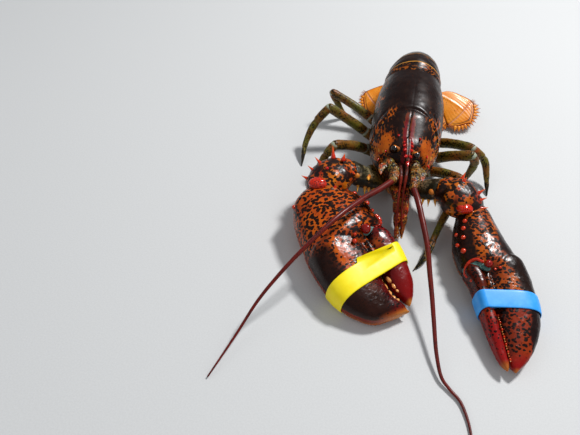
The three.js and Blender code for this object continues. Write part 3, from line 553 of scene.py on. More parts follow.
class Tree:
    """Node tree with short calls to add and join its nodes."""

    def __init__(self, tree: bpy.types.NodeTree) -> None:
        """Wraps one tree."""
        self.tree = tree

    def add(self, kind: str, links: dict[object, object] | None = None, **settings: object) -> Node:
        """Adds a node.

        Args:
            kind: the node's type name.
            links: for each input, by name or number, a value or the output that feeds it.
            settings: the node's own properties.

        Returns:
            The node.
        """
        node = self.tree.nodes.new(kind)
        for key, value in settings.items():
            setattr(node, key, value)
        self.feed(node, links or {})
        return node

    def feed(self, node: Node, links: dict[object, object]) -> None:
        """Gives each named or numbered input of a node its value, or the output that feeds it."""
        for key, value in links.items():
            if isinstance(value, Socket):
                self.tree.links.new(value, node.inputs[key])
            else:
                node.inputs[key].default_value = value

    def out(self, kind: str, links: dict[object, object], **settings: object) -> Socket:
        """First output of a new node."""
        return self.add(kind, links, **settings).outputs[0]

    def math(self, operation: str, a: object, b: object = 0.0, c: object = 0.0) -> Socket:
        """Output of one sum."""
        return self.out("ShaderNodeMath", {0: a, 1: b, 2: c}, operation=operation)

    def ramp(self, value: object, low: object, high: object, start: float = 0.0, end: float = 1.0) -> Socket:
        """Smooth step of a value between low and high, put out between start and end."""
        links = {0: value, 1: low, 2: high, 3: start, 4: end}
        return self.out("ShaderNodeMapRange", links, interpolation_type="SMOOTHSTEP")

    def mix(self, factor: object, a: object, b: object, blend: str = "MIX") -> Socket:
        """Blend of two colours."""
        node = self.add("ShaderNodeMix", {0: factor, 6: a, 7: b}, data_type="RGBA", blend_type=blend)
        return node.outputs[2]

    def noise(self, vector: object, scale: object, detail: float = 2.0, roughness: float = 0.5) -> Node:
        """Noise texture."""
        links = {"Vector": vector, "Scale": scale, "Detail": detail, "Roughness": roughness}
        return self.add("ShaderNodeTexNoise", links)

    def cloud(self, vector: object, scale: object, detail: float = 2.0, roughness: float = 0.5) -> Socket:
        """Value of a noise texture."""
        return self.noise(vector, scale, detail, roughness).outputs["Fac"]


def new_group(name: str, inputs: dict[str, float | None], output: str) -> tuple[Tree, Node, Node]:
    """Empty shader group that puts out one number.

    Args:
        name: the group's name.
        inputs: for each input its first number, or None for a vector.
        output: name of the output.

    Returns:
        The group's wrapped tree, and its input and output nodes.
    """
    group = bpy.data.node_groups.new(name, "ShaderNodeTree")
    for label, value in inputs.items():
        kind = "NodeSocketVector" if value is None else "NodeSocketFloat"
        socket = group.interface.new_socket(label, in_out="INPUT", socket_type=kind)
        if value is not None:
            socket.default_value = value
    group.interface.new_socket(output, in_out="OUTPUT", socket_type="NodeSocketFloat")
    tree = Tree(group)
    return tree, tree.add("NodeGroupInput"), tree.add("NodeGroupOutput")


def new_material(name: str) -> tuple[bpy.types.Material, Tree, Node, Socket]:
    """New material with its wrapped tree, its shader and the places on the piece."""
    material = bpy.data.materials.new(name)
    material.use_nodes = True
    tree = Tree(material.node_tree)
    place = tree.add("ShaderNodeTexCoord").outputs["Object"]
    return material, tree, tree.tree.nodes["Principled BSDF"], place


class Effects:
    """Shader groups that more than one finish uses."""

    def __init__(self) -> None:
        """Builds the groups."""
        self.spots = self.leopard_spots()
        self.pits = self.shell_pits()

    @staticmethod
    def leopard_spots() -> bpy.types.NodeTree:
        """Mask of a shell's dark spots: Dark 0 leaves none, 0.6 joins them to a net, 1 covers all."""
        inputs = {
            "Vector": None, "Scale": 400.0, "Dark": 0.5, "Softness": 0.06, "Heading": 0.0, "Stretch": 1.0,
        }
        tree, start, end = new_group("Leopard spots", inputs, "Mask")
        vector, scale, dark, softness, heading, stretch = (start.outputs[label] for label in inputs)
        links = {"Vector": vector, "Angle": heading}
        turned = tree.out("ShaderNodeVectorRotate", links, rotation_type="Z_AXIS")
        squash = tree.out("ShaderNodeCombineXYZ", {0: tree.math("DIVIDE", 1.0, stretch), 1: 1.0, 2: 1.0})
        drawn = tree.out("ShaderNodeVectorMath", {0: turned, 1: squash}, operation="MULTIPLY")
        warp = tree.noise(drawn, tree.math("MULTIPLY", scale, 0.7)).outputs["Color"]
        shift = tree.out("ShaderNodeVectorMath", {0: warp, 1: (0.5, 0.5, 0.5)}, operation="SUBTRACT")
        links = {0: shift, "Scale": tree.math("DIVIDE", 0.9, scale)}
        moved = tree.out("ShaderNodeVectorMath", links, operation="SCALE")
        place = tree.out("ShaderNodeVectorMath", {0: drawn, 1: moved}, operation="ADD")
        cells = tree.add("ShaderNodeTexVoronoi", {"Vector": place, "Scale": scale}, feature="F1")
        cloud = tree.cloud(place, tree.math("MULTIPLY", scale, 0.45), 3.0, 0.6)
        reach = tree.math("MULTIPLY", dark, tree.math("MULTIPLY_ADD", cloud, 1.1, 0.35))
        gap = tree.math("SUBTRACT", reach, cells.outputs["Distance"])
        tree.feed(end, {"Mask": tree.ramp(gap, tree.math("MULTIPLY", softness, -1.0), softness)})
        return tree.tree

    @staticmethod
    def shell_pits() -> bpy.types.NodeTree:
        """Height of the small pits and grains of a hard shell."""
        tree, start, end = new_group("Shell pits", {"Vector": None, "Scale": 900.0}, "Height")
        vector, scale = start.outputs["Vector"], start.outputs["Scale"]
        pits = tree.add("ShaderNodeTexVoronoi", {"Vector": vector, "Scale": scale}, feature="F1")
        pit = tree.ramp(pits.outputs["Distance"], 0.0, 0.35)
        wave = tree.cloud(vector, tree.math("MULTIPLY", scale, 0.35), 4.0, 0.6)
        tree.feed(end, {"Height": tree.math("ADD", tree.math("MULTIPLY", pit, 0.4), wave)})
        return tree.tree


def linear(hex_colour: int) -> tuple[float, float, float, float]:
    """Scene-linear colour of a display colour such as 0xD87A1E."""
    parts = [((hex_colour >> shift) & 255) / 255 for shift in (16, 8, 0)]
    r, g, b = (c / 12.92 if c <= 0.04045 else ((c + 0.055) / 1.055) ** 2.4 for c in parts)
    return (r, g, b, 1.0)


@dataclass(frozen=True)
class ShellFinish:
    """Wet, pitted shell that its zones turn dark, red or pale."""

    DRIFT_MM: ClassVar[float] = 9.0
    FLECK_MM: ClassVar[float] = 0.5
    BUMP_MM: ClassVar[float] = 0.3
    COAT_ROUGHNESS: ClassVar[float] = 0.15

    name: str
    slot: str
    base: int
    second: int
    red: int
    pale: int
    dark: int
    brown: int = 0x160A06
    spot_mm: float = 2.4
    softness: float = 0.06
    heading: float = 0.0
    stretch: float = 1.0
    pit_mm: float = 0.9
    relief: float = 0.3
    roughness: float = 0.3
    shine: float = 0.24
    coat: float = 0.05

    def material(self, effects: Effects) -> bpy.types.Material:
        """The finish as a material.

        Args:
            effects: the shared shader groups.

        Returns:
            The new material.
        """
        material, tree, shader, place = new_material(self.name)
        zones = tree.add("ShaderNodeAttribute", attribute_name=Zones.NAME)
        shade = tree.add("ShaderNodeAttribute", attribute_name=Zones.SHADE).outputs["Fac"]
        dark, red, pale = tree.add("ShaderNodeSeparateColor", {0: zones.outputs["Color"]}).outputs
        spots = tree.out("ShaderNodeGroup", {
            "Vector": place, "Dark": dark, "Scale": 1 / (self.spot_mm * MM), "Softness": self.softness,
            "Heading": -math.radians(self.heading), "Stretch": self.stretch,
        }, node_tree=effects.spots)
        drift = tree.cloud(place, 1 / (self.DRIFT_MM * MM), 3.0)
        ground = tree.mix(tree.ramp(drift, 0.35, 0.65), linear(self.base), linear(self.second))
        ground = tree.mix(red, ground, linear(self.red))
        ground = tree.mix(pale, ground, linear(self.pale))
        fleck = tree.ramp(tree.cloud(place, 1 / (self.FLECK_MM * MM)), 0.3, 0.75, 0.75, 1.15)
        ground = tree.mix(0.5, ground, fleck, "MULTIPLY")
        warm = tree.mix(tree.ramp(drift, 0.5, 0.75), linear(self.dark), linear(self.brown))
        cover = tree.math("MAXIMUM", tree.math("MULTIPLY", spots, 0.98), shade)
        links = {"Vector": place, "Scale": 1 / (self.pit_mm * MM)}
        pits = tree.out("ShaderNodeGroup", links, node_tree=effects.pits)
        height = tree.math("MULTIPLY", pits, zones.outputs["Alpha"])
        links = {"Height": height, "Distance": self.BUMP_MM * MM, "Strength": self.relief}
        tree.feed(shader, {
            "Base Color": tree.mix(cover, ground, warm),
            "Roughness": tree.ramp(drift, 0.3, 0.7, self.roughness * 0.8, self.roughness * 1.3),
            "Coat Weight": self.coat,
            "Coat Roughness": self.COAT_ROUGHNESS,
            "Specular IOR Level": self.shine,
            "Normal": tree.out("ShaderNodeBump", links),
        })
        return material


@dataclass(frozen=True)
class RubberFinish:
    """Smooth rubber band."""

    DRIFT_MM: ClassVar[float] = 6.0
    FINE_MM: ClassVar[float] = 0.6
    BUMP_MM: ClassVar[float] = 0.1

    name: str
    slot: str
    base: int
    worn: int

    def material(self, effects: Effects) -> bpy.types.Material:
        """The finish as a material; effects isn't used."""
        material, tree, shader, place = new_material(self.name)
        drift = tree.cloud(place, 1 / (self.DRIFT_MM * MM), 4.0, 0.6)
        fine = tree.cloud(place, 1 / (self.FINE_MM * MM), 3.0)
        links = {"Height": fine, "Distance": self.BUMP_MM * MM, "Strength": 0.3}
        tree.feed(shader, {
            "Base Color": tree.mix(tree.ramp(drift, 0.4, 0.8), linear(self.base), linear(self.worn)),
            "Roughness": tree.ramp(drift, 0.3, 0.7, 0.34, 0.5),
            "Normal": tree.out("ShaderNodeBump", links),
        })
        return material


@dataclass(frozen=True)
class PlainFinish:
    """Matt ground for the floor."""

    name: str
    base: int
    worn: int

    def material(self) -> bpy.types.Material:
        """The finish as a material."""
        material, tree, shader, place = new_material(self.name)
        drift = tree.cloud(place, 900.0, 3.0)
        colour = tree.mix(tree.ramp(drift, 0.2, 0.8), linear(self.base), linear(self.worn))
        tree.feed(shader, {"Base Color": colour, "Roughness": 0.7})
        return material


CARAPACE_FINISH = ShellFinish(
    "carapace shell", "carapace_shell", base=0x9C4209, second=0xB0560C, red=0x74101A, pale=0xC48A2C,
    dark=0x070506, brown=0x190C08, spot_mm=1.7, heading=90, stretch=2.2, roughness=0.3, shine=0.17,
)
ABDOMEN_FINISH = ShellFinish(
    "abdomen shell", "abdomen_shell", base=0x8E440E, second=0xA85C14, red=0x641610, pale=0xC8963A,
    dark=0x080607, brown=0x170C08, spot_mm=1.4, stretch=1.8, roughness=0.3,
)
UNDER_FINISH = ShellFinish(
    "underside shell", "underside_shell", base=0xB8763A, second=0xCB9058, red=0xA8482A, pale=0xDDBE92,
    dark=0x3A2416, spot_mm=3.0, roughness=0.45, coat=0.0,
)
FAN_FINISH = ShellFinish(
    "tail fan shell", "tail_fan_shell", base=0xDA7A12, second=0xE38C22, red=0x8A2A0C, pale=0xC08A7C,
    dark=0x1E0E08, spot_mm=1.5, softness=0.15, pit_mm=1.4, relief=0.12, roughness=0.34, coat=0.1,
)
CRUSHER_FINISH = ShellFinish(
    "crusher shell", "crusher_shell", base=0xBA540A, second=0xA63F09, red=0x780A0A, pale=0xE09A40,
    dark=0x060404, spot_mm=2.1, heading=41, stretch=1.5, roughness=0.25, shine=0.2,
)
CUTTER_FINISH = ShellFinish(
    "cutter shell", "cutter_shell", base=0xAE560E, second=0x96400C, red=0x860C0A, pale=0xE09A40,
    dark=0x060505, spot_mm=2.1, heading=13, stretch=1.2, roughness=0.25, shine=0.2,
)
ARM_FINISH = ShellFinish(
    "arm shell", "arm_shell", base=0xBE680C, second=0xA0380A, red=0xA8180A, pale=0xEDA640, dark=0x070505,
    spot_mm=2.6, stretch=1.2,
)
LEG_FINISH = ShellFinish(
    "leg shell", "leg_shell", base=0x5F5A1E, second=0x6E4E1C, red=0x8A3A12, pale=0xA9B6A4, dark=0x14140C,
    brown=0x20180C, spot_mm=1.5, softness=0.12, pit_mm=0.6, roughness=0.34,
)
HEAD_FINISH = ShellFinish(
    "head limb shell", "head_limb_shell", base=0x7C6A2A, second=0x8C4A1C, red=0xB8220F, pale=0xB4B89A,
    dark=0x100D0A, spot_mm=1.3, pit_mm=0.7, relief=0.5, roughness=0.34,
)
MOUTH_FINISH = ShellFinish(
    "mouth limb shell", "head_limb_shell", base=0x7E4A16, second=0x8C2E0E, red=0xA81C0C, pale=0xD8963A,
    dark=0x100A07, spot_mm=1.3, pit_mm=0.7, relief=0.5, roughness=0.32,
)
FEELER_FINISH = ShellFinish(
    "feeler shell", "feeler", base=0x5E120E, second=0x480C0C, red=0x8E2A18, pale=0x7A4A3A, dark=0x140707,
    spot_mm=0.9, softness=0.2, pit_mm=0.5, roughness=0.34,
)
EYE_FINISH = ShellFinish(
    "eye", "eye", base=0x050506, second=0x070709, red=0xE07A1A, pale=0x3A2A1A, dark=0x030304, spot_mm=1.0,
    pit_mm=0.25, relief=0.05, roughness=0.1, shine=0.5, coat=0.7,
)
THORN_FINISH = ShellFinish(
    "red thorns", "crusher_shell", base=0xBE1204, second=0xA60C04, red=0xE2500A, pale=0xECA860, dark=0x1E0504,
    spot_mm=1.3, pit_mm=0.6, relief=0.08, roughness=0.2, shine=0.4, coat=0.25,
)
MEMBRANE_FINISH = ShellFinish(
    "joint membrane", "leg_shell", base=0x28524E, second=0x457069, red=0x6A3A2A, pale=0x8CA8A0, dark=0x0A1614,
    spot_mm=1.4, softness=0.2, roughness=0.4,
)
YELLOW_FINISH = RubberFinish("yellow rubber", "yellow_rubber", base=0xF4DC00, worn=0xF8E818)
BLUE_FINISH = RubberFinish("blue rubber", "blue_rubber", base=0x2A98EC, worn=0x48AAF4)


class Workshop:
    """Dresses finished pieces and reports them to the frame."""

    def __init__(self) -> None:
        """Builds the shared effects."""
        self.effects = Effects()
        self.made: dict[str, bpy.types.Material] = {}

    def finish(self, obj: Obj, look: ShellFinish | RubberFinish, *nodes: str) -> Obj:
        """Gives a piece its finish and its place in the frame.

        Args:
            obj: the piece, whose place is in its mesh.
            look: its finish.
            nodes: the solids it stands for.

        Returns:
            The piece.
        """
        if look.name not in self.made:
            self.made[look.name] = look.material(self.effects)
        obj.data.materials.clear()
        obj.data.materials.append(self.made[look.name])
        if isinstance(look, ShellFinish) and Zones.NAME not in obj.data.attributes:
            Zones.paint(obj)
        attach(obj, "root")
        if nodes:
            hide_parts(*nodes)
        LOG.info("%s: %d faces", obj.name, len(obj.data.polygons))
        return obj


# Body


EYES: dict[Side, Point] = {Side.RIGHT: (-9.2, -36.6, 50.4), Side.LEFT: (8.3, -39.8, 49.9)}


@dataclass
class Carapace:
    """Shield over head and thorax, with the rostrum and its thorns."""

    front: float = -50.0
    rear: float = 62.0
    width: float = 60.0
    groove_depth: float = 0.95
    groove_width: float = 1.5
    groove_sweep: float = 21.0
    voxel: float = 0.55
    socket_room: float = 4.3
    stripe_shift: float = 1.6
    rostrum_points: Sequence[Point] = ((0.5, -27, 53), (1.4, -36, 50.8), (2.1, -44, 48.8), (2.3, -50.9, 47.2))
    rostrum_radii: Pairs = ((0, 4.2), (0.35, 3.5), (0.7, 2.4), (1, 0.8))
    rostrum_thorns: Sequence[Point] = (
        (-30.8, 3.3, 1.1), (-34, 3.4, 1.35), (-38, 3.0, 1.4), (-43.8, 2.4, 1.35),
    )
    brow: Sequence[tuple[Point, Point, float]] = (
        ((-7.2, -25, 54.4), (-7.5, -28.6, 56.8), 1.1), ((9.8, -25, 54), (10.1, -28.6, 56.4), 1.1),
        ((-15, -34.4, 45.2), (-15.8, -38.6, 46.6), 1.2), ((17.2, -33.6, 44.6), (18, -37.8, 46), 1.2),
        ((-19, -36.5, 38), (-20.6, -41, 38.6), 1.0), ((19.6, -36.5, 38), (21.2, -41, 38.6), 1.0),
    )

    def __post_init__(self) -> None:
        """Makes the curves that run along the body."""
        front, rear = self.front, self.rear
        self.roof = profile([
            (front, 27), (-46, 34), (-42, 40), (-39, 46.5), (-36, 51), (-32, 53.3), (-24, 55.8), (-15, 59.3),
            (-6, 62.6), (0, 63.8), (8, 65.4), (20, 67.4), (34, 68.8), (47, 68.6), (rear, 66),
        ])
        self.half = profile([
            (front, 8), (-47, 13), (-42, 18), (-36, 22), (-28, 25.4), (-18, 28), (-5, 29.5),
            (12, self.width / 2), (30, 29.8), (41, 28.6), (50, 27), (rear, 24.5),
        ])
        self.brim = profile([(front, 25), (-42, 30), (-30, 32), (-10, 34), (20, 35.5), (rear, 38)])
        self.edge = profile([
            (front, 22), (-42, 21.5), (-30, 19), (-15, 17), (10, 16.5), (30, 18), (rear, 24),
        ])
        self.middle = profile([(front, 0), (-30, 0), (40, 1.8), (rear, 1.9)])
        self.near_groove = profile([(front, 0), (-24, 0.75), (0, 1), (30, 0.5), (rear, 0)])

    def shield(self) -> Obj:
        """The domed shell without its rostrum."""
        rows, sides = 150, 170

        def place(row: Array, angle: Array) -> Array:
            """Point of the shell at a row and an angle."""
            share = row / (rows + 1)
            start = self.front + (self.rear - self.front) * np.minimum(share * 1.02, 1) ** 1.15
            power = np.where(np.sin(angle) > 0, 2.15, 2.8)
            a, b = squircle(angle, power)
            y = start - self.groove_sweep * np.abs(np.cos(angle)) ** 2.2 * self.near_groove(start)
            nose = np.sqrt(np.clip((start - self.front) / 1.6, 0, 1))
            scale = on_rings(row, rows) * np.where(start < self.front + 1.6, 0.4 + 0.6 * nose, 1)
            wide = self.half(y)
            tall = np.where(b > 0, self.roof(y) - self.brim(y), self.brim(y) - self.edge(y))
            return np.stack([self.middle(y) + a * wide * scale, y, self.brim(y) + b * tall * scale], axis=1)

        return sheet("carapace", rows, sides, place)

    def groove_line(self, points: Array) -> Array:
        """Distance of each point behind the groove across the back, measured along the body."""
        x, y, z = points.T
        wide = np.abs(x - self.middle(y)) / self.half(y)
        upper = np.clip((z - self.brim(y)) / (self.roof(y) - self.brim(y)), 0, 1)
        angle = np.arctan2(upper, np.clip(wide, 1e-3, None))
        return y + self.groove_sweep * np.cos(angle) ** 2.2

    def midline(self, y: Array) -> Array:
        """x of the line down the back, which leans to the rostrum in front."""
        return self.middle(y) + rise_over(-20, -40, y) * self.stripe_shift

    def carve(self, skin: Obj) -> None:
        """Cuts the groove, the midline, the sockets and the rear rim into the skin."""
        points = read_points(skin)
        normals = read_normals(skin)
        x, y, z = points.T
        line = self.groove_line(points)
        above = rise_over(-6, 4, z - self.brim(y))
        cut = bell(line, 0, self.groove_width) * self.groove_depth - bell(line, 3.4, 2.0) * 0.25
        side = bell(line, 9, 1.4) * rise_over(9, 20, np.abs(x)) * 0.45
        mid = bell(x, self.midline(y), 0.6) * rise_over(0.75, 0.95, normals[:, 2])
        mid = mid * (0.06 + 0.3 * rise_over(0, -10, y))
        rear = bell(y, self.rear - 4.5, 1.1) * 0.7
        rim = bell(z - self.edge(y), 2.6, 1.0) * 0.5
        depth = cut * above + side * above + mid + rear * above + rim
        lumps = grain(points, 9, 3) * 0.2 + grain(points, 3.2, 4) * 0.07 - 0.3
        grains = np.clip(grain(points, 0.95, 5), 0, 1) * 0.16 * rise_over(0.2, 0.8, np.abs(x) / self.half(y))
        points = points + normals * (lumps + grains - depth)[:, None]
        for side, eye in EYES.items():
            away = points - np.array(eye) - np.array([side.value * 0.6, -0.6, 0.2])
            far = np.linalg.norm(away, axis=1)
            points += away / far[:, None] * np.clip(self.socket_room - far, 0, None)[:, None]
        write_points(skin, points)

    def paint(self, skin: Obj) -> None:
        """Dark back, red stripes, orange cheeks and flecked sides, with painted shade in the eye sockets and a
        painted sheen on the lower sides.
        """
        points = read_points(skin)
        x, y, z = points.T
        middle = self.midline(y)
        wide = np.abs(x - middle) / self.half(y)
        height = (z - self.brim(y)) / (self.roof(y) - self.brim(y))
        line = self.groove_line(points)
        patches = grain(drawn_out(points, 0.45), 4.6, 6) + 0.7 * grain(drawn_out(points, 0.5), 2.0, 7)
        stripe = bell(np.abs(x - middle), 2.7, 1.9) * rise_over(4, -18, y) * rise_over(0.4, 0.7, height)
        cheek = bell(np.abs(x), 16.6, 5.6) * bell(y, -29.5 - 0.06 * x, 7.5) * rise_over(0.0, 0.4, height)
        cheek = cheek * (1.15 + 0.3 * patches)
        band = bell(line, 0.5, 6.5) * rise_over(0.3, 0.62, wide)
        flank = rise_over(0.62, 0.9, wide)
        fleck = np.clip(band * (0.95 + 0.7 * patches) + flank * (0.5 + 0.65 * patches), 0, 1)
        front = rise_over(40, 34, z) * rise_over(-34, -42, y)
        rim = rise_over(self.rear - 2.4, self.rear - 1.8, y)
        low = rise_over(0.3, -0.2, height)
        below = rise_over(1.5, -1.5, z - self.edge(y))
        dark = 0.9 - 0.24 * fleck - 0.72 * np.clip(1.2 * cheek, 0, 1)
        shade = np.clip(0.96 - 1.2 * fleck - 1.5 * cheek, 0, 0.96)
        dark = dark * (1 - 0.95 * stripe) * (1 - rim) * (1 - 0.7 * below)
        shade = shade * (1 - 0.9 * stripe) * (1 - rim) * (1 - 0.8 * below)
        groove = bell(x - middle, 0, 0.7) * rise_over(2, -8, y) * rise_over(0.5, 0.7, height)
        shade = np.maximum(np.maximum(shade, 0.95 * groove), 0.8 * front)
        # Painted shade: the shell is darkened in a ring round each eye, in the sockets.
        for eye in EYES.values():
            near = np.linalg.norm(points - np.array(eye), axis=1)
            shade = np.maximum(shade, 0.95 * rise_over(5.4, 4.5, near))
        yellow = rise_over(0.3, 0.7, grain(drawn_out(points, 0.35), 1.5, 8))
        pale = 0.8 * yellow * np.clip(band + flank, 0, 1)
        # Painted sheen: the lower sides are made paler through low. The rear rim and the underside below the
        # edge are paler in their own colour.
        pale = np.maximum(pale, 0.7 * rim + 0.35 * low + 0.5 * below)
        Zones.paint(skin, dark=dark, red=stripe * 1.2, pale=pale, rough=0.5 + 0.5 * wide, shade=shade)

    def thorns(self) -> Obj:
        """Red thorns of the rostrum and brow."""
        path = Path(self.rostrum_points)
        roots, tips, radii = [], [], []
        for y, half, radius in self.rostrum_thorns:
            at = path.at((y + 27) / -24)
            for side in (-1, 1):
                roots.append(at + np.array([side * (half - 0.7), 0.8, 0.7]))
                tips.append(at + np.array([side * (half + 0.7), -1.8, 2.3]))
                radii.append(radius * 1.15)
        end = path.at(1.0)
        roots.append(end + np.array([0, 2.6, 0.3]))
        tips.append(end + np.array([0.2, -2.2, 1.0]))
        radii.append(1.6)
        for root, tip, radius in self.brow:
            roots.append(root)
            tips.append(tip)
            radii.append(radius)
        return SOWER.sow("carapace_thorns", Growth.THORN, roots, tips, radii)

    def build(self, shop: Workshop) -> None:
        """Makes and dresses the shield and its thorns."""
        blade = limb("rostrum", self.rostrum_points, self.rostrum_radii, sides=32, flat=0.64, caps=(0.4, 1.0))
        skin = fuse("carapace", [self.shield(), blade], self.voxel)
        self.carve(skin)
        self.paint(skin)
        shop.finish(skin, CARAPACE_FINISH, "carapace")
        shop.finish(self.thorns(), THORN_FINISH)


@dataclass
class Tail:
    """Six rings of the abdomen, curled down behind the carapace."""

    y: float = 60.0
    z: float = 26.0
    radius: float = 45.0
    start: float = -14.0
    end: float = 98.0
    shift: float = 12.0
    vault: float = 0.84
    lead: float = 2.4
    front_x: float = 1.9
    inset: float = 0.35
    swell: Pairs = ((0, -1.6), (0.12, -0.9), (0.3, -0.25), (0.42, 0.1), (0.7, 0.45), (0.95, 0.95), (1, 0.6))
    borders: Sequence[float] = (-14, -2.5, 17, 37, 57, 76, 98)

    def __post_init__(self) -> None:
        """Makes the curves that run along the tail."""
        self.width = profile([(0, 25), (0.12, 23.6), (0.35, 22), (0.7, 19.4), (1, 17)])
        self.depth = profile([(0, 30), (0.4, 26.5), (0.7, 22), (1, 17)])

    def share(self, degrees: Array) -> Array:
        """Share of the tail's length at curl angles."""
        return np.clip((degrees - self.start) / (self.end - self.start), 0, 1)

    def middle(self, share: Array) -> Array:
        """x of the tail's middle at shares of its length."""
        return self.front_x + (self.shift - self.front_x) * share**2

    def point(self, degrees: Array, slide: Array, across: Array, outward: Array) -> Array:
        """Points of the tail at curl angles, with offsets along, across and outward."""
        a = np.radians(degrees)
        x = self.middle(self.share(degrees)) + across
        y = self.y + np.sin(a) * outward + np.cos(a) * slide
        z = self.z + np.cos(a) * outward - np.sin(a) * slide
        return np.stack(np.broadcast_arrays(x, y, z), axis=-1)

    def ring(self, index: int) -> Obj:
        """One ring with its side lobes."""
        start, end = self.borders[index], self.borders[index + 1]
        rows, sides = 46, 150
        order = np.concatenate([[0.0], np.linspace(0, 1, rows), [1.0]])
        pole = np.concatenate([[0.0], np.ones(rows), [0.0]])
        swell = profile(self.swell)

        def place(row: Array, angle: Array) -> Array:
            """Point of the ring at a row and an angle."""
            t = order[row.astype(int)]
            at = start - self.lead + (end - start + self.lead) * t
            share = self.share(at)
            a, b = squircle(angle, np.where(np.sin(angle) > 0, 1.9, 3.0))
            depth = self.depth(share)
            rim = swell(t)
            reach = np.where(b > 0, depth * self.vault + rim, depth * (1 - self.vault))
            scale = pole[row.astype(int)]
            wide = (self.width(share) + rim) * scale
            outward = self.radius - self.inset - depth * self.vault + b * reach * scale
            return self.point(at, np.zeros_like(at), a * wide, outward)

        ring = sheet(f"abdomen_{index + 1}", rows, sides, place)
        if not 0 < index < 5:
            return ring
        return join(ring, *(self.lobe(index, side) for side in Side))

    def lobe(self, index: int, side: Side) -> Obj:
        """Pointed side lobe of one ring."""
        start, end = self.borders[index], self.borders[index + 1]
        at = start + (end - start) * 0.52
        share = self.share(at)
        wide, depth = self.width(share), self.depth(share)
        places = [
            self.point(at, -0.4, side.value * (wide - 2.4), self.radius - depth * 0.6),
            self.point(at, 0.2, side.value * (wide - 0.9), self.radius - depth * 0.86),
            self.point(at, 2.2, side.value * (wide - 1.4), self.radius - depth - 5.4),
        ]
        radii = [(0, 5.2), (0.3, 5.0), (0.6, 3.9), (0.85, 2.0), (1, 0.6)]
        return limb("lobe", places, radii, rows=30, flat=0.26, caps=(0.3, 0.8), up=SIDEWAYS * side.value)

    def paint(self, ring: Obj, index: int) -> None:
        """Dark rings with an orange rear line, flecked on the first."""
        points = read_points(ring)
        curl = np.degrees(np.arctan2(points[:, 1] - self.y, points[:, 2] - self.z))
        out = np.hypot(points[:, 1] - self.y, points[:, 2] - self.z)
        end = self.borders[index + 1]
        share = self.share(curl)
        wide = np.abs(points[:, 0] - self.middle(share)) / self.width(share)
        rear = rise_over(end - 2.2, end - 1.4, curl)
        belly = rise_over(8, 3, out - (self.radius - self.depth(share)))
        patches = grain(points, 5, 13) + 0.5 * grain(points, 2, 14)
        first = 1.0 if index == 0 else 0.3 * bell(curl, end - 3, 4)
        side = rise_over(0.6, 1.0, wide)
        fleck = np.clip(first * (0.65 + 0.7 * patches) + side * (0.3 + 0.6 * patches), 0, 1)
        dark = (0.88 - 0.22 * fleck) * (1 - rear) * (1 - 0.7 * belly)
        shade = np.clip(0.95 - 1.15 * fleck, 0, 0.95) * (1 - rear) * (1 - 0.9 * belly)
        Zones.paint(ring, dark=dark, red=0.3 * side, pale=0.6 * rear + 0.4 * belly, rough=0.6, shade=shade)

    def build(self, shop: Workshop) -> None:
        """Makes and dresses the six rings."""
        for index in range(6):
            ring = self.ring(index)
            roughen(ring, (5, 11, 0.16), (1.4, 12, 0.05))
            self.paint(ring, index)
            shop.finish(ring, ABDOMEN_FINISH, f"abdomen_{index + 1}")


@dataclass
class Plate:
    """One plate of the tail fan, in the fan's plane."""

    name: str
    root: tuple[float, float]
    heading: float
    length: float
    outer: Pairs
    inner: Pairs
    layer: float
    mirror: float = 1.0
    suture: float = 0.0
    teeth: int = 12
    thick: Pairs = ((0, 2.6), (0.3, 2), (1, 1.3))


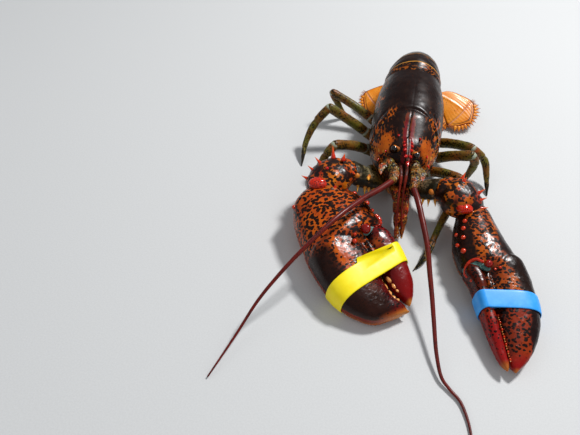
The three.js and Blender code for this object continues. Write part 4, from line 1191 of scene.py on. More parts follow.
@dataclass
class TailFan:
    """Telson and four uropods, spread forward under the body with their undersides up."""

    y: float = 93.0
    z: float = 20.6
    slope: float = 0.534
    x: float = 12.5
    layer: float = 2.3
    hairs: int = 150
    side_outer: Pairs = (
        (0, 2), (0.1, 5.5), (0.2, 11.5), (0.4, 16.6), (0.7, 20), (0.85, 17.5), (0.95, 11.5), (1, 2),
    )
    side_inner: Pairs = ((0, -2), (0.1, -4), (0.45, -8.6), (0.7, -14), (0.85, -12.5), (0.95, -7), (1, 0))
    inner_outer: Pairs = ((0, 2), (0.15, 7), (0.5, 12), (0.8, 13), (0.93, 9.5), (1, 2))
    inner_inner: Pairs = ((0, -2), (0.15, -4), (0.5, -9), (0.8, -11.5), (0.93, -8), (1, 0))
    telson_half: Pairs = ((0, 9), (0.12, 12.5), (0.5, 13.2), (0.85, 12), (0.95, 9), (1, 3))

    def plates(self) -> list[Plate]:
        """The five plates."""
        x, layer = self.x, self.layer
        telson_inner = tuple((t, -half) for t, half in self.telson_half)
        thick = ((0, 3), (0.4, 2.4), (1, 1.4))
        found = [Plate("telson", (x, -1), 90, 40, self.telson_half, telson_inner, -layer, thick=thick)]
        for side, inner_heading, outer_root, outer_heading in (
            (Side.RIGHT, 112, (x - 13.5, 3.5), 134), (Side.LEFT, 64, (x + 12.5, 5), 33),
        ):
            inner = (f"{side.label}_uropod_inner", (x + side.value * 9, 1), inner_heading, 40)
            outer = (f"{side.label}_uropod_outer", outer_root, outer_heading, 46)
            found += [
                Plate(*inner, self.inner_outer, self.inner_inner, 0.0, side.value),
                Plate(*outer, self.side_outer, self.side_inner, layer, side.value, suture=33.2),
            ]
        return found

    @property
    def run(self) -> float:
        """Length on the slope of a step of one along the floor."""
        return math.hypot(1, self.slope)

    def point(self, x: Array, down: Array, lift: Array) -> Array:
        """Points of the fan's plane, lifted off it."""
        run = self.run
        y = self.y - down / run - lift * self.slope / run
        z = self.z - down * self.slope / run + lift / run
        return np.stack(np.broadcast_arrays(x, y, z), axis=-1)

    def on_plate(self, plate: Plate, u: Array, w: Array, lift: Array) -> Array:
        """Points of one plate: u along its axis, w towards its outer margin."""
        a = math.radians(plate.heading)
        x = plate.root[0] + math.cos(a) * u + math.sin(a) * plate.mirror * w
        down = plate.root[1] + math.sin(a) * u - math.cos(a) * plate.mirror * w
        return self.point(x, down, plate.layer + lift)

    def normal(self) -> Array:
        """Direction off the fan's plane."""
        return np.array([0.0, -self.slope, 1.0]) / self.run

    def margins(self, plate: Plate, t: Array) -> tuple[Array, Array]:
        """Outer and inner margin of a plate at shares of its length."""
        return profile(plate.outer)(t), profile(plate.inner)(t)

    def across(self, plate: Plate, t: Array, w: Array) -> Array:
        """Places across a plate, from -1 at its inner margin to 1 at its outer one."""
        high, low = self.margins(plate, t)
        return (w - (high + low) / 2) / np.maximum((high - low) / 2, 0.1)

    def suture(self, plate: Plate, across: Array) -> Array:
        """u of the suture at places across a plate."""
        return plate.suture + 2.2 * np.cos(across * 1.4) - 1.6

    def blade(self, plate: Plate) -> Obj:
        """One plate with its ribs, suture and rim."""
        rows, sides = 110, 150
        thick = profile(plate.thick)

        def place(row: Array, angle: Array) -> Array:
            """Point of the plate at a row and an angle."""
            t = eased(row, rows)
            u = plate.length * t
            high, low = self.margins(plate, t)
            spread = 0.5 * np.cos(angle) * (1.0 + 0.16 * np.sin(angle) ** 2)
            pole = on_rings(row, rows)
            w = (high + low) / 2 + pole * spread * (high - low)
            face = np.sign(np.sin(angle)) * np.abs(np.sin(angle)) ** 0.45
            depth = thick(t) / 2
            across = self.across(plate, t, w)
            crease = 0.0
            if plate.suture:
                bend = self.suture(plate, across)
                crease = 0.35 * bell(u, bend, 0.55) - 0.22 * bell(u, bend - 1.1, 0.6)
            rib = 0.35 * bell(w, high * 0.32, 1.3) * rise_over(1.0, 0.5, t)
            rays = 0.07 * np.sin(across * 34 + 2 * t) * rise_over(0.3, 0.75, t)
            cup = -1.6 * across**2 * rise_over(0.15, 0.6, t)
            rim = -0.35 * rise_over(0.86, 1.0, np.abs(across))
            lift = pole * face * (depth + rim) + cup * pole + pole * (rib + rays - crease) * np.sign(face)
            return self.on_plate(plate, u, w, lift)

        return sheet(plate.name, rows, sides, place)

    def paint(self, blade: Obj, plate: Plate) -> None:
        """Orange plate with a dark outline and a pale suture."""
        blade_points = read_points(blade)
        u, w = self.local(plate, blade_points)
        t = np.clip(u / plate.length, 0, 1)
        across = self.across(plate, t, w)
        round_edge = np.sqrt(np.clip(across, -1, 1) ** 2 + 0.92 * rise_over(0.55, 1.0, t) ** 2)
        far = rise_over(0.7, 0.8, t)
        edge = np.maximum(rise_over(0.93, 0.99, np.abs(across)), far * rise_over(0.98, 1.02, round_edge))
        inside = far * bell(round_edge, 0.9, 0.03)
        bend = self.suture(plate, across)
        seam = bell(u, bend, 0.45) if plate.suture else np.zeros_like(u)
        before = bell(u, bend - 1.0, 0.4) if plate.suture else np.zeros_like(u)
        flecks = 0.16 + 0.1 * grain(blade_points, 6, 22)
        shade = 0.9 * inside + 0.35 * before + 0.4 * edge
        Zones.paint(blade, dark=flecks, red=0.9 * edge, pale=0.8 * seam, rough=0.6, shade=shade)

    def local(self, plate: Plate, points: Array) -> tuple[Array, Array]:
        """Places on a plate, u along its axis and w towards its outer margin, of points in space."""
        down = (self.y - points[:, 1]) / self.run + (self.z - points[:, 2]) * self.slope / self.run
        a = math.radians(plate.heading)
        dx, dd = points[:, 0] - plate.root[0], down - plate.root[1]
        u = math.cos(a) * dx + math.sin(a) * dd
        w = plate.mirror * (math.sin(a) * dx - math.cos(a) * dd)
        return u, w

    def edge_places(self, plate: Plate, count: int, spread: float) -> tuple[Array, Array, Array]:
        """Roots on a plate's far edge and outward directions.

        Args:
            plate: the plate.
            count: number of roots.
            spread: how far round the edge they go, in degrees each way.

        Returns:
            u and w of the roots, and the angle of each from the plate's axis.
        """
        swing = np.radians(np.linspace(-spread, spread, count))
        t = np.linspace(0.6, 0.999, 400)
        high, low = self.margins(plate, t)
        rim_u = np.concatenate([plate.length * t, plate.length * t[::-1]])
        rim_w = np.concatenate([low, high[::-1]])
        centre_u, centre_w = plate.length * 0.66, float((high[60] + low[60]) / 2)
        turn = np.arctan2(rim_w - centre_w, rim_u - centre_u)
        order = np.argsort(turn)
        u = np.interp(swing, turn[order], rim_u[order])
        w = np.interp(swing, turn[order], rim_w[order])
        return u, w, swing

    def fringe(self, plate: Plate, rng: np.random.Generator) -> list[Obj]:
        """Pointed teeth and fine hairs round a plate's far edge."""
        u, w, swing = self.edge_places(plate, plate.teeth, 62)
        reach = (3.8 if plate.mirror > 0 else 2.6) + rng.uniform(-0.5, 0.7, len(u))
        roots = self.on_plate(plate, u - np.cos(swing) * 1.2, w - np.sin(swing) * 1.2, -0.6)
        tips = self.on_plate(plate, u + np.cos(swing) * reach, w + np.sin(swing) * reach, -0.9)
        radii = [1.6] * len(u)
        teeth = SOWER.sow(f"{plate.name}_teeth", Growth.THORN, roots, tips, radii, 0.45, self.normal())
        along = along_of(teeth)
        red, shade = 0.6 * rise_over(0.1, 0.9, along), 0.75 * rise_over(0.6, 1.0, along)
        Zones.paint(teeth, dark=0.1, red=red, rough=0.3, shade=shade)
        count = self.hairs
        u, w, swing = self.edge_places(plate, count, 84)
        reach = rng.uniform(1.6, 3.2, count)
        lean = swing + rng.uniform(-0.12, 0.12, count)
        lift = -0.5 + rng.uniform(-0.3, 0.3, count)
        roots = self.on_plate(plate, u - np.cos(swing) * 0.8, w - np.sin(swing) * 0.8, lift)
        lift = -1.0 + rng.uniform(-0.5, 0.5, count)
        tips = self.on_plate(plate, u + np.cos(lean) * reach, w + np.sin(lean) * reach, lift)
        hairs = SOWER.sow(f"{plate.name}_fringe", Growth.HAIR, roots, tips, [0.13] * count)
        Zones.paint(hairs, dark=0.2, red=0.5, pale=0.2, rough=0.1)
        return [teeth, hairs]

    def build(self, shop: Workshop) -> None:
        """Makes and dresses the five plates and their fringes."""
        rng = np.random.default_rng(SEED)
        for plate in self.plates():
            blade = self.blade(plate)
            roughen(blade, (7, 21, 0.08))
            self.paint(blade, plate)
            shop.finish(blade, FAN_FINISH, plate.name)
            for piece in self.fringe(plate, rng):
                shop.finish(piece, FAN_FINISH)


@dataclass
class Thorax:
    """Underside of the thorax, which carries the legs and rests on the floor."""

    start: float = -45.0
    end: float = 49.0
    top: float = 24.0
    brim: float = 11.0
    x: float = 0.6
    half: Pairs = ((-44, 8), (-34, 12), (-15, 15.5), (10, 16), (30, 14), (48, 9))
    low: Pairs = ((-44, 8), (-34, 3), (-22, -1.2), (26, -1.2), (36, 2.5), (48, 10))
    leg_roots: Sequence[float] = (-30, -15, 1, 17, 33)

    def sternum(self) -> Obj:
        """The plate between the legs, with its cross seams."""
        rows = 110
        half, low = profile(self.half), profile(self.low)

        def place(row: Array, angle: Array) -> Array:
            """Point of the sternum at a row and an angle."""
            y = self.start + (self.end - self.start) * eased(row, rows)
            a, b = squircle(angle, 3.0)
            scale = on_rings(row, rows)
            reach = np.where(b > 0, self.top - self.brim, self.brim - low(y))
            seam = 0.5 * bell(np.mod(y + 7, 16), 8, 1.2)
            x = a * (half(y) - seam) * scale + self.x
            return np.stack([x, y, self.brim + b * (reach - seam) * scale], axis=1)

        return sheet("thorax_underside", rows, 90, place)

    def build(self, shop: Workshop) -> None:
        """Makes and dresses the sternum with the leg roots."""
        radii = ((0, 6), (0.6, 6.4), (1, 5))
        roots = [
            limb("root", [(s * 9, y, 9.5), (s * 14.5, y + 0.5, 10.5)], radii, rows=14, sides=28)
            for s in (-1, 1)
            for y in self.leg_roots
        ]
        skin = fuse("thorax_underside", [self.sternum(), *roots], 0.8)
        roughen(skin, (4, 31, 0.2))
        x, _, z = read_points(skin).T
        dark = 0.18 + 0.2 * rise_over(10, 16, np.abs(x))
        Zones.paint(skin, dark=dark, red=0.1, pale=rise_over(6, 1, z) * 0.5)
        shop.finish(skin, UNDER_FINISH, "thorax_underside")


# Claws


@dataclass
class ClawPiece:
    """Flattened, round-ended body: s along the claw from the wrist, p outward from its axis, z up."""

    CURVES: ClassVar[Sequence[str]] = ("outer", "inner", "top", "bottom", "edge")
    TOP_POWER: ClassVar[float] = 2.2

    wrist: tuple[float, float]
    ahead: tuple[float, float]
    outward: tuple[float, float]
    start: float
    end: float
    rounding: tuple[float, float]
    outer: Pairs
    inner: Pairs
    top: Pairs
    bottom: Pairs
    edge: Pairs
    power: float = 2.2
    border: Pairs = ()

    def __post_init__(self) -> None:
        """Makes the curves that run along the claw."""
        self.curves = {key: profile(getattr(self, key)) for key in self.CURVES}

    def value(self, key: str, s: float) -> float:
        """One of the piece's curves at one s."""
        return float(self.curves[key](np.array([s]))[0])

    def place(self, s: Array | float, p: Array | float, z: Array | float) -> Array:
        """Points in space of places on the claw."""
        x = self.wrist[0] + self.ahead[0] * s + self.outward[0] * p
        y = self.wrist[1] + self.ahead[1] * s + self.outward[1] * p
        return np.stack(np.broadcast_arrays(x, y, z), axis=-1)

    def local(self, points: Array) -> tuple[Array, Array]:
        """s and p of points in space."""
        away = points[:, :2] - np.array(self.wrist)
        return away @ np.array(self.ahead), away @ np.array(self.outward)

    def body(self, name: str, rows: int = 80, sides: int = 96) -> Obj:
        """The piece as a smooth closed surface."""

        def place(row: Array, angle: Array) -> Array:
            """Point of the piece at a row and an angle."""
            s = self.start + (self.end - self.start) * eased(row, rows)
            outer, inner, top, bottom, edge = (curve(s) for curve in self.curves.values())
            near = np.clip((s - self.start) / self.rounding[0], 0, 1)
            far = np.clip((self.end - s) / self.rounding[1], 0, 1)
            scale = np.sqrt(1 - (1 - near) ** 2) * np.sqrt(1 - (1 - far) ** 2)
            c, d = squircle(angle, self.power)
            p = (outer + inner) / 2 + c * scale * (outer - inner) / 2
            z = edge + d * scale * np.where(d > 0, top - edge, edge - bottom)
            if self.border:
                limit = profile(self.border)(p)
                share = rise_over(self.border[-1][0] + 1.5, self.border[-1][0] - 2.5, p)
                s = s - share * 0.94 * np.clip(s - limit, 0, None)
            return self.place(s, p, z)

        return sheet(name, rows, sides, place)

    def top_at(self, s: float, p: float) -> Array:
        """Point of the upper surface at s and p."""
        outer, inner, top, _, edge = (self.value(key, s) for key in self.curves)
        across = min(0.97, abs(p - (outer + inner) / 2) / ((outer - inner) / 2))
        rise = (1 - across**self.TOP_POWER) ** (1 / self.TOP_POWER)
        return self.place(s, p, edge + rise * (top - edge))

    def normal_at(self, s: float, p: float) -> Array:
        """Direction out of the upper surface at s and p."""
        ds = self.top_at(s + 0.5, p) - self.top_at(s - 0.5, p)
        dp = self.top_at(s, p + 0.5) - self.top_at(s, p - 0.5)
        out = np.cross(ds, dp)
        return unit(out if out[2] > 0 else -out)


@dataclass
class Claw:
    """One large claw: palm with its fixed finger, movable finger, beads, teeth and rubber band."""

    side: Side
    kind: str
    palm: ClawPiece
    finger: ClawPiece
    dactyl: ClawPiece
    beads: Sequence[tuple[float, float, float]]
    hinge: tuple[float, float, float]
    ridges: Sequence[tuple[Pairs, float, float]]
    band_middle: float
    band_slant: float
    band_width: float
    look: ShellFinish
    rubber: RubberFinish
    band_thickness: float = 0.85
    band_slack: float = 0.3
    band_rounds: int = 5
    voxel: float = 0.55

    @property
    def label(self) -> str:
        """Start of the names of this side's pieces."""
        return f"{self.side.label}_claw"

    def relief(self, points: Array) -> Array:
        """Low lumps and small grains of a claw's shell."""
        lumps = grain(points, 8, 41) * 0.3 + grain(points, 3, 42) * 0.12
        grains = np.clip(grain(points, 1.1, 43) - 0.15, 0, 1) * 0.16
        return lumps + grains

    def zones(self, s: Array, p: Array, z: Array, movable: bool) -> dict[str, Array]:
        """Masks over the claw, which each kind of claw gives."""
        raise NotImplementedError

    def flank(self, s: Array, z: Array) -> tuple[Array, Array]:
        """Share of the underside, and of the line where it meets the upper side."""
        level = np.where(s < self.palm.end, self.palm.curves["edge"](s), self.finger.curves["edge"](s))
        return rise_over(0.5, -4, z - level), bell(z - level, 0.2, 1.1)

    def skin(self, name: str, parts: list[Obj], shop: Workshop) -> None:
        """Fuses, shapes, paints and reports one hard piece."""
        skin = fuse(name, parts, self.voxel)
        push(skin, self.relief)
        points = read_points(skin)
        s, p = self.palm.local(points)
        Zones.paint(skin, rough=0.8, **self.zones(s, p, points[:, 2], name.endswith("dactyl")))
        shop.finish(skin, self.look, name)

    def bead_row(self) -> Obj:
        """Red beads on the palm and along its inner margin."""
        roots, tips, radii = [], [], []
        for s, p, radius in self.beads:
            out = unit(self.palm.normal_at(s, p) + UP * 0.8)
            at = self.palm.top_at(s, p)
            roots.append(at)
            tips.append(at + out * radius * 1.15)
            radii.append(radius * 1.12)
        beads = SOWER.sow(f"{self.side.label}_{self.kind}_beads", Growth.BEAD, roots, tips, radii)
        Zones.paint(beads, dark=0.6 * rise_over(0.3, -0.1, along_of(beads)), red=0.3, rough=0.2)
        return beads

    def joint_parts(self) -> list[Obj]:
        """Dark red knob that the movable finger turns on, and the red ridges beside it."""
        s, p, radius = self.hinge
        at = self.palm.top_at(s, p)
        out = self.palm.normal_at(s, p)
        knob = SOWER.sow(f"{self.label}_hinge", Growth.BEAD, [at - out * 0.6], [at + out * radius], [radius])
        Zones.paint(knob, dark=0.3, rough=0.3, shade=0.42)
        parts = [knob]
        for number, (places, thick, shade) in enumerate(self.ridges):
            points = [self.palm.top_at(s, p) + UP * thick * 0.1 for s, p in places]
            radii = [(0, thick * 0.8), (0.5, thick), (1, thick * 0.75)]
            ridge = limb(f"{self.label}_ridge_{number + 1}", points, radii, rows=36)
            roughen(ridge, (1.6, 46, 0.18))
            Zones.paint(ridge, dark=0.25, red=0.2, rough=0.3, shade=shade)
            parts.append(ridge)
        return parts

    def band(self) -> Obj:
        """Rubber band stretched over both fingers."""
        rows, sides = 14, 160
        half = self.band_width / 2
        skin = self.band_thickness

        def touch(piece: ClawPiece, s: Array, normal: Array) -> tuple[Array, Array]:
            """Outermost point of a finger's section along a normal, and how far out it lies."""
            outer, inner, top, bottom, edge = (curve(s) for curve in piece.curves.values())
            centre = np.stack([(outer + inner) / 2, edge], axis=1)
            tall = np.where(normal[:, 1] > 0, top - edge, edge - bottom)
            reach = np.stack([(outer - inner) / 2, tall], axis=1)
            pull = reach * np.abs(normal)
            dual = piece.power / (piece.power - 1)
            total = (pull**dual).sum(axis=1) ** (1 / dual)
            at = centre + np.sign(normal) * reach * (pull / total[:, None]) ** (dual - 1)
            return at, (at * normal).sum(axis=1)

        def place(row: Array, angle: Array) -> Array:
            """Point of the band: the rows go once round its own section."""
            turn = 2 * math.pi * row / (rows + 1)
            lip, depth = squircle(turn, 5.0)
            border = lip * half
            offset = self.band_slack + skin * (0.5 + 0.5 * depth)
            normal = np.stack([np.cos(angle), np.sin(angle)], axis=1)
            p = np.zeros_like(angle)
            for _ in range(self.band_rounds):
                s = self.band_middle + self.band_slant * p + border
                a, far_a = touch(self.finger, s, normal)
                b, far_b = touch(self.dactyl, s, normal)
                at = np.where((far_a > far_b)[:, None], a, b) + normal * offset[:, None]
                p = at[:, 0]
            return self.palm.place(s, at[:, 0], at[:, 1])

        bpy.ops.object.select_all(action="DESELECT")
        bpy.ops.mesh.primitive_torus_add(
            major_segments=sides, minor_segments=rows + 1, major_radius=1.0, minor_radius=0.4
        )
        obj = bpy.context.object
        obj.name = obj.data.name = f"{self.label}_band"
        x, y, z = read_points(obj, 1.0).T
        turn = np.arctan2(z, np.hypot(x, y) - 1)
        row = np.mod(turn + math.pi / 2, 2 * math.pi) / (2 * math.pi) * (rows + 1)
        points = place(row, np.arctan2(y, x))
        fold = grain(points, 9, 51) * 0.12
        write_points(obj, points + UP * fold[:, None])
        face_out(obj)
        bpy.ops.object.shade_smooth()
        return obj

    def teeth(self) -> list[Obj]:
        """Teeth along the slot between the fingers."""
        raise NotImplementedError

    def web(self) -> Obj:
        """Low fold of shell that closes the valley between the fingers near the joint."""
        start, end = self.hinge[0] + 1.5, self.band_middle + 2
        places = []
        for s in np.linspace(start, end, 5):
            top = min(self.finger.value("top", s), self.dactyl.value("top", s))
            places.append(self.palm.place(s, self.finger.value("inner", s), top - 4.6))
        return limb("web", places, [(0, 2.6), (0.6, 2.8), (1, 1.6)])

    def membrane(self) -> Obj:
        """Soft skin in the gap where the movable finger joins the palm."""
        border = profile(self.palm.border)
        low = self.palm.border[0][0] + 3
        places = []
        for p in np.linspace(low, self.palm.border[-1][0] + 0.5, 6):
            s = float(border(np.array([p]))[0]) + 0.6
            places.append(self.palm.top_at(s, p) - UP * 3.0)
        radii = [(0, 2.0), (0.5, 2.7), (1, 2.2)]
        pad = limb(f"{self.label}_membrane", places, radii, rows=60, sides=32, flat=0.7)
        roughen(pad, (1.6, 61, 0.6))
        Zones.paint(pad, dark=0.3 + 0.2 * grain(read_points(pad), 3, 62), pale=0.2)
        return pad

    def build(self, shop: Workshop) -> None:
        """Makes and dresses the claw."""
        name = f"{self.side.label}_{self.kind}"
        self.skin(f"{name}_claw", [self.palm.body("palm"), self.finger.body("finger"), self.web()], shop)
        self.skin(f"{name}_dactyl", [self.dactyl.body("dactyl")], shop)
        shop.finish(self.bead_row(), THORN_FINISH)
        for piece in [*self.joint_parts(), *self.teeth()]:
            shop.finish(piece, THORN_FINISH)
        shop.finish(self.membrane(), MEMBRANE_FINISH)
        shop.finish(self.band(), self.rubber, f"{self.label}_band")


class CrusherClaw(Claw):
    """Heavy claw with blunt molar teeth."""

    PATCH_S: ClassVar[float] = 63.0
    PATCH_P: ClassVar[float] = 22.0
    FINGER_MOLARS: ClassVar[Pairs] = ((78, 2.2), (84, 2.7), (90.4, 2.4), (95.6, 2.2), (100, 1.4), (103, 1.0))
    DACTYL_MOLARS: ClassVar[Pairs] = ((80.5, 1.8), (87.5, 2.1), (93.2, 1.6), (97.4, 1.0))

    def zones(self, s: Array, p: Array, z: Array, movable: bool) -> dict[str, Array]:
        """Spotted palm, black outer half towards the band, brown finger and red rim and tips."""
        under, rim = self.flank(s, z)
        places = np.stack([s, p, z], axis=1)
        patches = grain(places, 7, 44) + 0.5 * grain(places, 2.6, 47)
        if movable:
            glow = bell(s, self.PATCH_S, 5) * bell(p, -7, 4.5)
            slit = rise_over(-15, -6, p)
            shade = (0.3 + 0.5 * slit) * rise_over(98, 66, s) + 0.25 * slit * rise_over(106, 90, s)
            tip = rise_over(105.5, 109, s)
            return {
                "dark": 0.5 * rise_over(78, 62, s) * (1 - tip),
                "red": (1 - 0.75 * glow) * (1 - 0.5 * tip),
                "pale": 0.5 * tip,
                "shade": shade * (1 - 0.7 * glow) * (1 - under) * (1 - tip),
            }
        tip = rise_over(107.5, 112, s)
        finger = rise_over(72, 86, s)
        glow = bell(s, self.PATCH_S, 15) * bell(p, self.PATCH_P, 5.5)
        brown = rise_over(40, 58, s) * bell(p, 7, 10)
        inner = rise_over(-6, -16, p) * rise_over(4, 26, s)
        outer = rise_over(24.5, 28.5, p + 1.5 * patches)
        outer *= rise_over(45, 56, s + 0.45 * (p - 28) + 2.5 * patches)
        dark = 0.62 + 0.05 * patches + 0.1 * inner - 0.27 * glow + 0.02 * brown
        shade = np.maximum(0.4 * inner + 0.15 * patches * inner, 0.62 * brown + 0.12 * patches * brown)
        shade = np.maximum(shade * (1 - glow), 0.97 * outer * (1 - 0.8 * glow))
        end = 0.96 * rise_over(4, 15, p + 2 * patches) + 0.55 * rise_over(15, 4, p + 2 * patches)
        shade = np.maximum(shade, finger * (end - 0.2 * bell(s, 89, 4) * bell(p, 13, 6)))
        wrist = rise_over(28, 4, s) * rise_over(14, 28, p)
        red = 0.35 * inner + 0.4 * brown + 0.9 * finger * rise_over(18, 4, p) + 0.3 * wrist
        rim = rim * rise_over(8, 20, p)
        keep = (1 - tip) * (1 - 0.9 * rim)
        return {
            "dark": dark * (1 - 0.4 * finger) * keep * (1 - 0.5 * under),
            "red": np.clip(np.maximum(red, rim), 0, 1) * (1 - 0.6 * tip),
            "pale": 0.55 * rise_over(109, 113, s) + 0.12 * under,
            "shade": shade * keep * (1 - 0.75 * under),
        }

    def teeth(self) -> list[Obj]:
        """Blunt pale molars on both margins of the slot."""
        pieces = []
        rows = (
            (self.finger, "inner", 1.0, self.FINGER_MOLARS),
            (self.dactyl, "outer", -1.0, self.DACTYL_MOLARS),
        )
        for number, (piece, margin, inward, places) in enumerate(rows):
            roots, tips, radii = [], [], []
            for s, radius in places:
                p, z = piece.value(margin, s), piece.value("edge", s) + 3.2
                roots.append(piece.place(s, p + inward * radius * 0.9, z))
                tips.append(piece.place(s, p - inward * radius * 0.3, z + 1.0))
                radii.append(radius)
            lay = np.array([*piece.ahead, 0.0])
            molars = SOWER.sow(f"crusher_molars_{number + 1}", Growth.BEAD, roots, tips, radii, 1.6, lay)
            roughen(molars, (1.7, 49, 0.3))
            along = along_of(molars)
            root_dark, root_red = 0.3 * rise_over(0.5, 0.0, along), 0.3 * rise_over(0.6, 0.1, along)
            Zones.paint(molars, dark=root_dark, red=root_red, pale=0.85, rough=0.5)
            pieces.append(molars)
        return pieces


class CutterClaw(Claw):
    """Slim claw with a row of fine teeth."""

    NET_BORDER: ClassVar[Pairs] = (
        (0, 8), (21, 9), (42, 8), (61, 11), (72, 15.5), (91, 16.5), (106, 13.5), (120, 12),
    )
    TEETH: ClassVar[Sequence[tuple[float, float, float]]] = ((5.2, 1.15, 0.0), (1.7, 0.62, 0.7))
    SLIT: ClassVar[tuple[float, float]] = (87.5, 121)

    def zones(self, s: Array, p: Array, z: Array, movable: bool) -> dict[str, Array]:
        """Orange net over the middle, black inner and outer sides, and red tips."""
        under, rim = self.flank(s, z)
        places = np.stack([s, p, z], axis=1)
        patches = grain(places, 6, 45) + 0.5 * grain(places, 2.2, 48)
        if movable:
            tip = rise_over(119, 124, s)
            shade = 0.75 * rise_over(92, 62, s) + 0.2 * rise_over(-8, -4, p) * rise_over(116, 96, s)
            dark = 0.5 - 0.3 * rise_over(92, 118, s) + 0.06 * patches
            return {
                "dark": dark * (1 - tip),
                "red": (0.75 + 0.25 * rise_over(80, 100, s)) * (1 - 0.3 * tip),
                "pale": 0.3 * tip,
                "shade": shade * (1 - under) * (1 - tip),
            }
        tip = rise_over(112, 124, s)
        border = profile(self.NET_BORDER)(s)
        finger = rise_over(72, 88, s)
        side = rise_over(0, 3, p + 1.6 * patches - border)
        inner = rise_over(-7.5, -10, p + 1.2 * patches) * (1 - finger)
        joint = bell(s, 60, 9) * bell(p, -1, 5)
        dark = 0.63 + 0.05 * patches - 0.04 * finger - 0.1 * bell(p - border, -4, 4) * rise_over(40, 60, s)
        shade = np.maximum(np.maximum(0.97 * side, 0.95 * inner), 0.85 * joint)
        shade = np.maximum(shade, finger * (0.25 + 0.35 * rise_over(7, 0, p)) * (1 + 0.4 * patches))
        red = 0.15 + 0.5 * finger + 0.35 * tip + 0.3 * joint
        rim = rim * rise_over(5, 12, p)
        keep = (1 - tip) * (1 - 0.8 * rim)
        return {
            "dark": dark * keep * (1 - 0.5 * under),
            "red": np.clip(red, 0, 1),
            "pale": 0.4 * rise_over(124, 127, s) + 0.12 * under,
            "shade": shade * keep * (1 - 0.75 * under),
        }

    def teeth(self) -> list[Obj]:
        """Row of small red beads with finer pale ones between them."""
        pieces = []
        for number, (step, radius, pale) in enumerate(self.TEETH):
            roots, tips = [], []
            for s in np.arange(*self.SLIT, step):
                p = self.finger.value("inner", s) + 0.9
                z = self.finger.top_at(s, p + 0.6)[2] * 0.93
                roots.append(self.finger.place(s, p, z - 0.8))
                tips.append(self.finger.place(s, p - 0.9, z + radius * 0.9))
            row = SOWER.sow(f"cutter_teeth_{number + 1}", Growth.BEAD, roots, tips, [radius] * len(roots))
            Zones.paint(row, red=0.3, pale=pale, rough=0.2)
            pieces.append(row)
        return pieces


def crusher() -> CrusherClaw:
    """The right claw."""
    frame = {"wrist": (-59.9, -73.4), "ahead": (0.661, -0.751), "outward": (-0.751, -0.661)}
    palm = ClawPiece(
        **frame, start=-7, end=62, rounding=(9, 18),
        outer=((-7, 17), (5, 28), (21, 34.6), (35, 38), (50, 41), (62, 41.8)),
        inner=((-7, -7), (5, -15), (13, -22.5), (25, -27.5), (34, -27), (44, -26.5), (52, -21.5), (62, -18)),
        top=((-7, 34), (8, 38), (28, 39), (45, 37), (62, 32)),
        bottom=((-7, 18), (4, 7), (12, -0.8), (42, -0.8), (52, 2.3), (62, 2.6)),
        edge=((-7, 27), (15, 19), (35, 15), (62, 13)), border=((-28, 51), (-16, 51), (-10, 50), (-4, 53)),
    )
    finger = ClawPiece(
        **frame, start=38, end=113, rounding=(10, 7),
        outer=(
            (38, 38), (50, 41), (68, 42.3), (80, 41.5), (89, 39), (100, 32.5), (108, 24), (111.5, 12),
            (113, -3),
        ),
        inner=((38, 2), (55, -2), (72, -1.5), (84, 2.2), (98, 2.4), (106, -1), (113, -6)),
        top=((38, 35.5), (48, 35), (62, 31.4), (80, 25.8), (96, 20), (108, 15), (114, 11)),
        bottom=((38, 6), (50, 2.6), (88, 2.4), (93, -0.6), (106, -0.6), (114, 4)),
        edge=((38, 15), (70, 12), (100, 9), (114, 8)), power=2.6,
    )
    dactyl = ClawPiece(
        **frame, start=44, end=110, rounding=(9, 6),
        outer=((44, -5), (55, -3), (72, -2.4), (80, -1.6), (88, -1), (96, -1.4), (104, -2.8), (110, -4.5)),
        inner=(
            (44, -17), (52, -22.5), (60, -24.6), (68, -24.6), (80, -22.8), (94, -18.8), (102, -14),
            (107, -9.5), (110, -6),
        ),
        top=((44, 29), (55, 30), (70, 26.5), (90, 20.5), (104, 14.5), (110, 11)),
        bottom=((44, 10), (60, 6), (90, 3.5), (104, 4.5), (110, 6)),
        edge=((44, 19), (60, 17), (90, 12), (110, 8.5)), power=2.6,
    )
    beads = (
        (9, -17, 1.5), (14.5, -21.5, 1.8), (25.5, -26, 1.9), (33, -25.6, 1.6), (53.3, 6.6, 1.2),
        (57.5, 9.5, 1.6), (4, 27, 1.5), (19, -24, 1.1), (58, -20.5, 1.4),
    )
    ridges = (
        (((39.8, -24.4), (43, -24.6), (46.2, -23.8)), 2.2, 0.1),
        (((48.4, -21.6), (50.6, -18), (51.4, -14.6)), 2.0, 0.6),
    )
    return CrusherClaw(
        Side.RIGHT, "crusher", palm, finger, dactyl, beads, hinge=(51.9, -4.4, 3.9), ridges=ridges,
        band_middle=77.6, band_slant=0.1, band_width=15, look=CRUSHER_FINISH, rubber=YELLOW_FINISH,
    )


